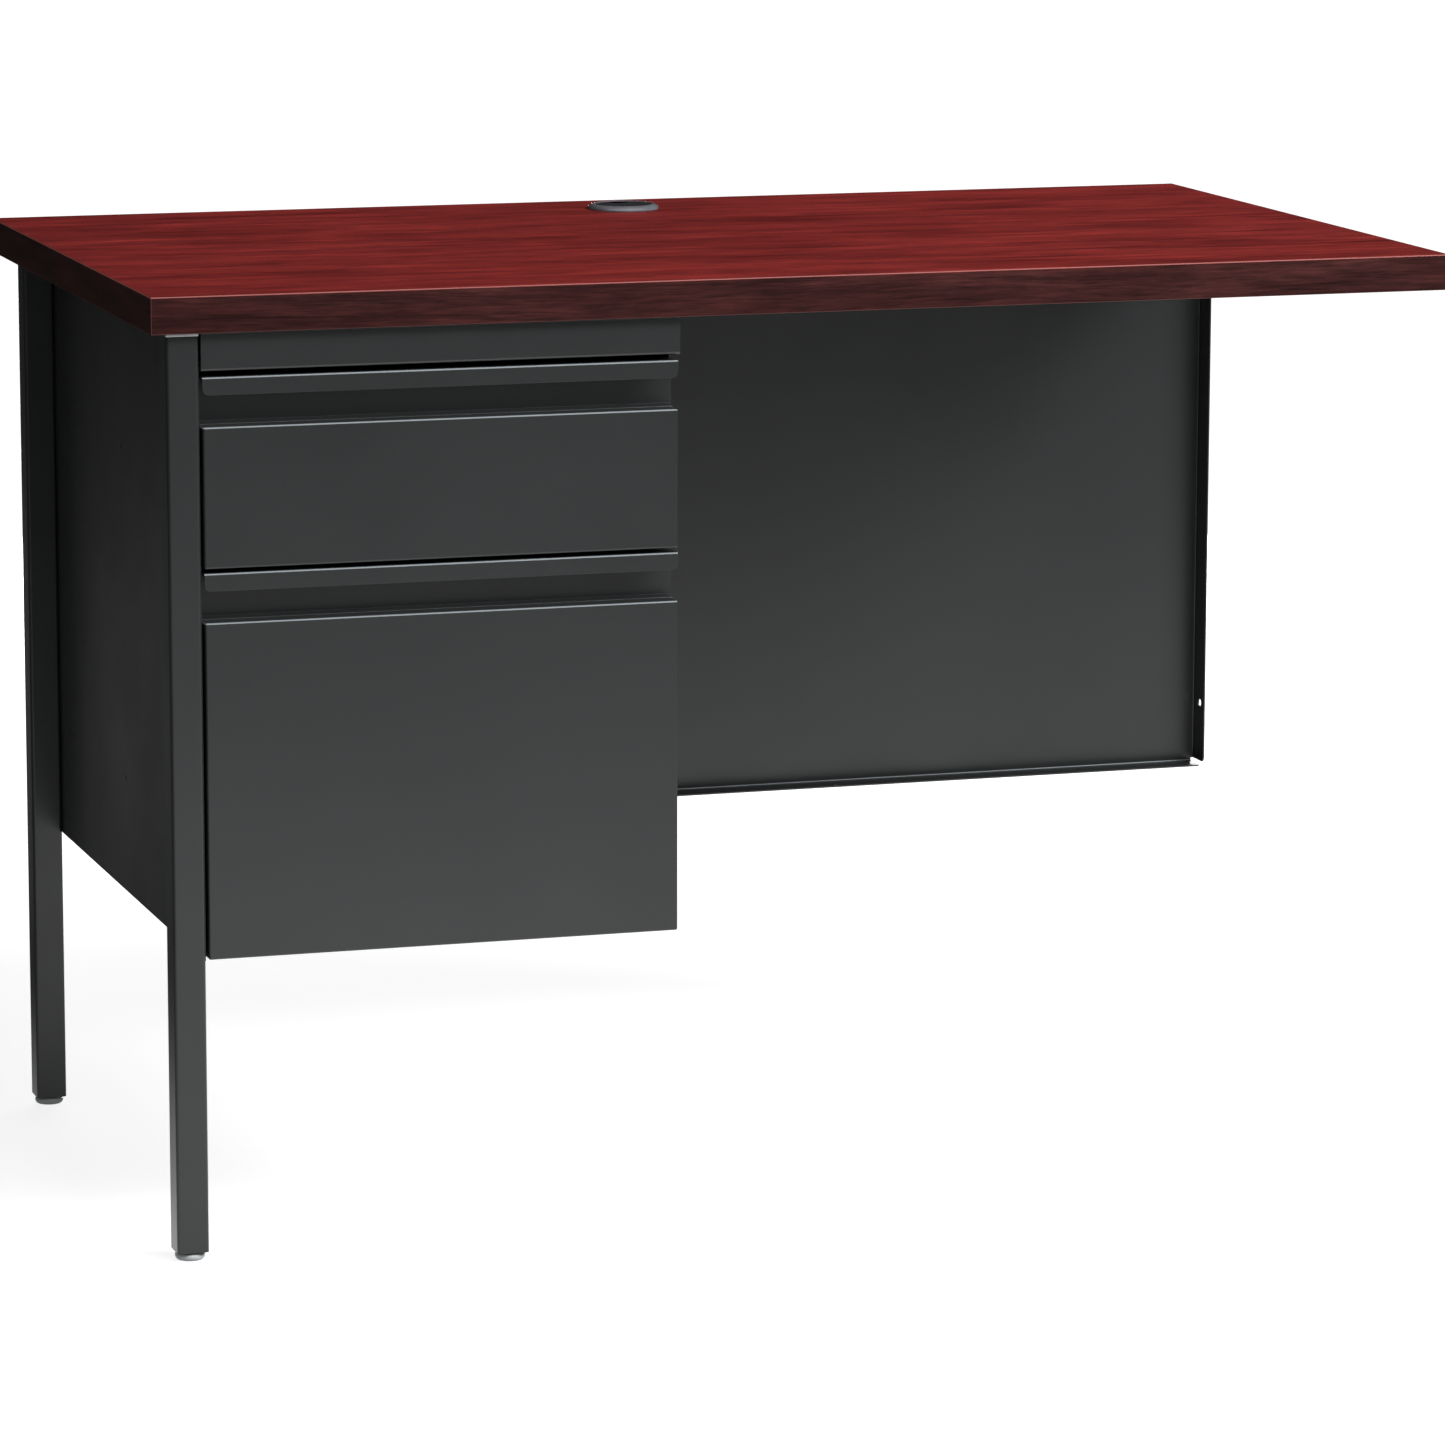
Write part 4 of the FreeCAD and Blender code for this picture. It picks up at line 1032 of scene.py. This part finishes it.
for x in (slit_x, top_start, top_end, gap_start, gap_end):
    slice_at(panel, (x, high.y, middle.z), (1, 0, 0))
for z in (slit_z, side_start, side_end):
    slice_at(panel, (middle.x, high.y, z), (0, 0, 1))
choose(panel, "FACE", lambda place, way: place.x > slit_x and place.z < slit_z)
bpy.ops.mesh.delete(type="FACE")
pull_edges(panel, lambda place, way: near(place.z, low.z) and abs(way.x) > 0, (0, -FLANGE, 0))
pull_edges(panel, lambda place, way: near(place.x, high.x) and near(place.y, high.y), (0, -FLANGE, 0))
pull_edges(panel, lambda place, way: near(place.z, high.z) and near(place.y, high.y) and
           top_start < place.x < top_end and not gap_start < place.x < gap_end, (0, -TOP_FLANGE, 0))
pull_edges(panel, lambda place, way: near(place.x, low.x) and near(place.y, high.y) and
           side_start < place.z < side_end, (0, -(FLANGE - 0.1 * MM), 0))
round_corners(panel, lambda place, way: near(place.y, low.y) and
              ((near(place.x, slit_x) and near(place.z, low.z)) or
               (near(place.x, high.x) and near(place.z, slit_z))), FLANGE_CORNER)
round_folds(panel, SHEET_FOLD, segments=5)
give_gauge(panel, SHEET_GAUGE, (0, 1, 0))

# %% Bolt holes and the tie hole
HOLE_SETBACK = 10.4 * MM
HOLE_LEVELS = (293.5 * MM, 674.5 * MM)
TIE_HOLE_X = 193 * MM
cutter_depth = 12 * MM
tools = [start_rod("hole_cutter", (high.x, low.y + HOLE_SETBACK, level), 3.5 * MM, cutter_depth, 32,
                   (0, math.pi / 2, 0)) for level in HOLE_LEVELS]
tools.append(start_rod("hole_cutter", (TIE_HOLE_X, low.y + 3.2 * MM, low.z), 2.6 * MM, cutter_depth, 32))
cut_away(panel, *tools)
finish_piece(panel, "modesty_panel")
print("panel", len(panel.data.polygons), "faces")

# %% [markdown]
# ## Edge bands
# Four strips of laminate cover the core's edges. A router eases their outer edges after gluing, and the
# eased edges are painted pale as a thin line: partly the laminate's cut edge, partly a painted highlight.
# Only the outer lower edge, and the upright ends of the front and rear bands, are eased; the joint with the top
# sheet stays tight.

# %% Bands
BAND_EASE = 0.5 * MM


def edge_band(node, eased):
    low, high = span(node)
    piece = start_block(node + "_detailed", (low + high) / 2, high - low)
    bevel_edges(piece, lambda place, way: eased(place, low, high), BAND_EASE, 2)
    return finish_piece(piece, node)


def end_band_edges(side):
    """The lower edge and the two upright ends of a band that faces the front or the back."""
    return lambda place, low, high: (near(place.y, side(low.y, high.y)) and
                                     (near(place.z, low.z) or near(place.x, low.x) or near(place.x, high.x)))


def side_band_edges(side):
    return lambda place, low, high: near(place.x, side(low.x, high.x)) and near(place.z, low.z)


edge_band("edge_band_front", end_band_edges(min))
edge_band("edge_band_rear", end_band_edges(max))
edge_band("edge_band_left", side_band_edges(min))
edge_band("edge_band_right", side_band_edges(max))
print("bands", made[-4:])

# %% [markdown]
# ## Telescopic slides
# A slide is three nested channels of zinc plated strip. Each channel's lips end in a short turned edge
# that holds the balls in their race. One function makes all twelve: only the side that the lips point
# to changes.

# %% Slide members
RACE_TURN = 1.6 * MM
RACE_FOLD = 1.2 * MM


def slide_member(node, lips_to_right):
    low, high = span(node)
    web, lip = (low.x, high.x) if lips_to_right else (high.x, low.x)
    line = [(lip, low.y, low.z + RACE_TURN), (lip, low.y, low.z), (web, low.y, low.z),
            (web, low.y, high.z), (lip, low.y, high.z), (lip, low.y, high.z - RACE_TURN)]
    piece = edge_path(node + "_detailed", line)
    pull(piece, (0, high.y - low.y, 0))
    round_folds(piece, RACE_FOLD, segments=3)
    give_gauge(piece, 1.0 * MM, (-1 if lips_to_right else 1, 0, 0), ease=0.2 * MM)
    return finish_piece(piece, node)


for drawer in ("box", "file"):
    for side in ("left", "right"):
        for member in ("cabinet", "middle", "drawer"):
            slide_member(f"{drawer}_{side}_{member}_member", (side == "left") != (member == "drawer"))
print("slides", len([name for name in made if "member" in name]))

# %% [markdown]
# ## Screws and bumpers
# Every screw head has a cross recess for a driver. One screw is turned and its recess cut; the rest
# are copies of it, joined by the piece that they belong to. The rubber bumpers are turned too.

# %% Copying one shape to many places
def small_turning(name, outline, steps):
    """Spin an outline of (radius, height) places about the upright axis at the origin."""
    piece = edge_path(name, [(radius * MM, 0, height * MM) for radius, height in outline])
    turn_round(piece, (0, 0, 0), steps)
    return piece


def cut_cross(piece, level, reach, width, depth):
    """Cut a cross recess whose bottom is depth above the head's face."""
    for size in ((reach, width, depth * 2), (width, reach, depth * 2)):
        cut_away(piece, start_block("recess_cutter", (0, 0, level), size))


def copy_to(original, places, node):
    """Copies of one piece, each placed and turned, joined into one mesh that stands for a CAD node."""
    copies = []
    for place, turned in places:
        only(original)
        bpy.ops.object.duplicate()
        copy = bpy.context.object
        copy.location = place
        copy.rotation_euler = turned
        copies.append(copy)
    only(copies[0])
    for copy in copies:
        copy.select_set(True)
    bpy.ops.object.transform_apply(location=True, rotation=True, scale=True)
    bpy.ops.object.join()
    copies[0].name = node + "_detailed"
    finish_piece(copies[0], node)
    bpy.data.objects.remove(original)


# %% Wood screws under the worktop
SCREW_INSET = 11 * MM
CASE_SCREWS, LEG_SCREWS, REAR_SCREWS = (110, 300, 490), (42, 60), (60, 330, 610, 790, 970)
RAIL_SCREWS = (60, 322)
wood_screw = small_turning("wood_screw", [(0, -2.2), (1.5, -2.15), (2.8, -1.9), (3.8, -1.35), (4.4, -0.65),
                                          (4.5, -0.1), (4.4, 0), (2.1, 0), (2.1, 14.5), (0.3, 17.8),
                                          (0, 18)], 24)
cut_cross(wood_screw, -2.2 * MM, 4.4 * MM, 0.9 * MM, 1.2 * MM)
case_low = span("pedestal_left_side")[0]
inner_left = case_low.x + SHEET_GAUGE
inner_right = span("pedestal_right_side")[1].x - SHEET_GAUGE
front_y = span("worktop_laminate")[0].y
under_flange = span("worktop_backer")[0].z - SHEET_GAUGE
leg_low, leg_high = span("front_left_leg")
rear_leg_high = span("rear_left_leg")[1]
stretcher_y = span("rear_stretcher")[0].y
places = []
for x in (inner_left + SCREW_INSET, inner_right - SCREW_INSET):
    places += [(x, front_y + y * MM, under_flange) for y in CASE_SCREWS]
for x in (case_low.x + step * MM for step in RAIL_SCREWS):
    places += [(x, leg_low.y + 19.5 * MM, under_flange), (x, stretcher_y + 6 * MM, under_flange)]
places += [(inner_left + x * MM, rear_leg_high.y - SCREW_INSET, under_flange) for x in REAR_SCREWS]
leg_middle = (leg_low.x + leg_high.x) / 2
places += [(leg_middle, leg_low.y + y * MM, leg_high.z) for y in LEG_SCREWS]
places += [(leg_middle, rear_leg_high.y - y * MM, leg_high.z) for y in LEG_SCREWS]
copy_to(wood_screw, [(place, (0, 0, 0)) for place in places], "worktop_screws")
print(len(places), "wood screws")

# %% Low-head screws of the slides and of the modesty panel
def low_screw(length):
    """Its head starts at the origin and points up; its shank points down."""
    screw = small_turning("low_screw", [(0, 1.3), (1.6, 1.25), (2.8, 1.0), (3.4, 0.55), (3.6, 0.1), (3.5, 0),
                                        (1.9, 0), (1.9, -length), (0, -length)], 24)
    cut_cross(screw, 1.3 * MM, 3.6 * MM, 0.8 * MM, 0.8 * MM)
    return screw


HEAD_TO_RIGHT = (0, math.pi / 2, 0)
HEAD_TO_LEFT = (0, -math.pi / 2, 0)
SLIDE_SCREWS, PANEL_SCREWS = (60, 250, 460), (60, 240, 420)
slide_front = span("box_left_cabinet_member")[0].y
slide_levels = {}
for drawer in ("box", "file"):
    low, high = span(f"{drawer}_left_cabinet_member")
    slide_levels[drawer] = (low.z + high.z) / 2


def screw_row(left_x, right_x, level):
    """Three screws on each side of the pedestal, their heads inwards."""
    row = []
    for y in SLIDE_SCREWS:
        row.append(((left_x, slide_front + y * MM, level), HEAD_TO_RIGHT))
        row.append(((right_x, slide_front + y * MM, level), HEAD_TO_LEFT))
    return row


row = []
for level in slide_levels.values():
    row += screw_row(inner_left + 1.2 * MM, inner_right - 1.2 * MM, level)
copy_to(low_screw(2.4), row, "cabinet_slide_screws")

tray_low, tray_high = span("box_drawer_tray")
for drawer, level in slide_levels.items():
    row = screw_row(tray_low.x + SKIN_GAUGE, tray_high.x - SKIN_GAUGE, level)
    copy_to(low_screw(2.2), row, f"{drawer}_drawer_screws")

panel_low, panel_high = span("modesty_panel")
row = [((panel_low.x + SHEET_GAUGE, panel_high.y - 13 * MM, panel_low.z + z * MM), HEAD_TO_RIGHT)
       for z in PANEL_SCREWS]
copy_to(low_screw(4.0), row, "modesty_panel_screws")

# %% Rubber bumpers
bumper_low, bumper_high = span("drawer_bumpers")
length = (bumper_high.y - bumper_low.y) / MM
bumper = small_turning("bumper", [(0, 0), (4.3, 0), (4.5, 0.3), (4.5, length - 1.8), (4.2, length - 0.9),
                                  (3.4, length - 0.3), (2.0, length), (0, length)], 24)
row = []
for x in (inner_left + 30 * MM, inner_right - 30 * MM):
    for z in (bumper_low.z + 4.5 * MM, bumper_high.z - 4.5 * MM):
        row.append(((x, bumper_high.y, z), (math.pi / 2, 0, 0)))
copy_to(bumper, row, "drawer_bumpers")
print("fasteners", made[-6:])

# %% [markdown]
# ## Plain pieces with eased edges
# The flat case panels, plates and rails already have the right shape. Their cut edges only need the
# slight roundness that paint gives, so a copy of each is merged, cleaned of its triangles and eased.

# %% Ease the cut edges of plain pieces
def ease_edges(node, width=0.25 * MM):
    mesh = nodes[node].data.copy()
    piece = bpy.data.objects.new(node + "_detailed", mesh)
    bpy.context.scene.collection.objects.link(piece)
    choose_all(piece)
    bpy.ops.mesh.remove_doubles(threshold=0.005 * MM)
    bpy.ops.mesh.dissolve_limited(angle_limit=math.radians(1))
    leave()
    round_folds(piece, width, segments=2, angle=50)
    return finish_piece(piece, node)


for node in ("pedestal_left_side", "pedestal_right_side", "pedestal_back", "pedestal_bottom_pan",
             "front_leg_plate", "rear_leg_plate", "front_leg_insert", "rear_leg_insert",
             "file_hang_rail_left", "file_hang_rail_right"):
    ease_edges(node)
print("eased", made[-10:])
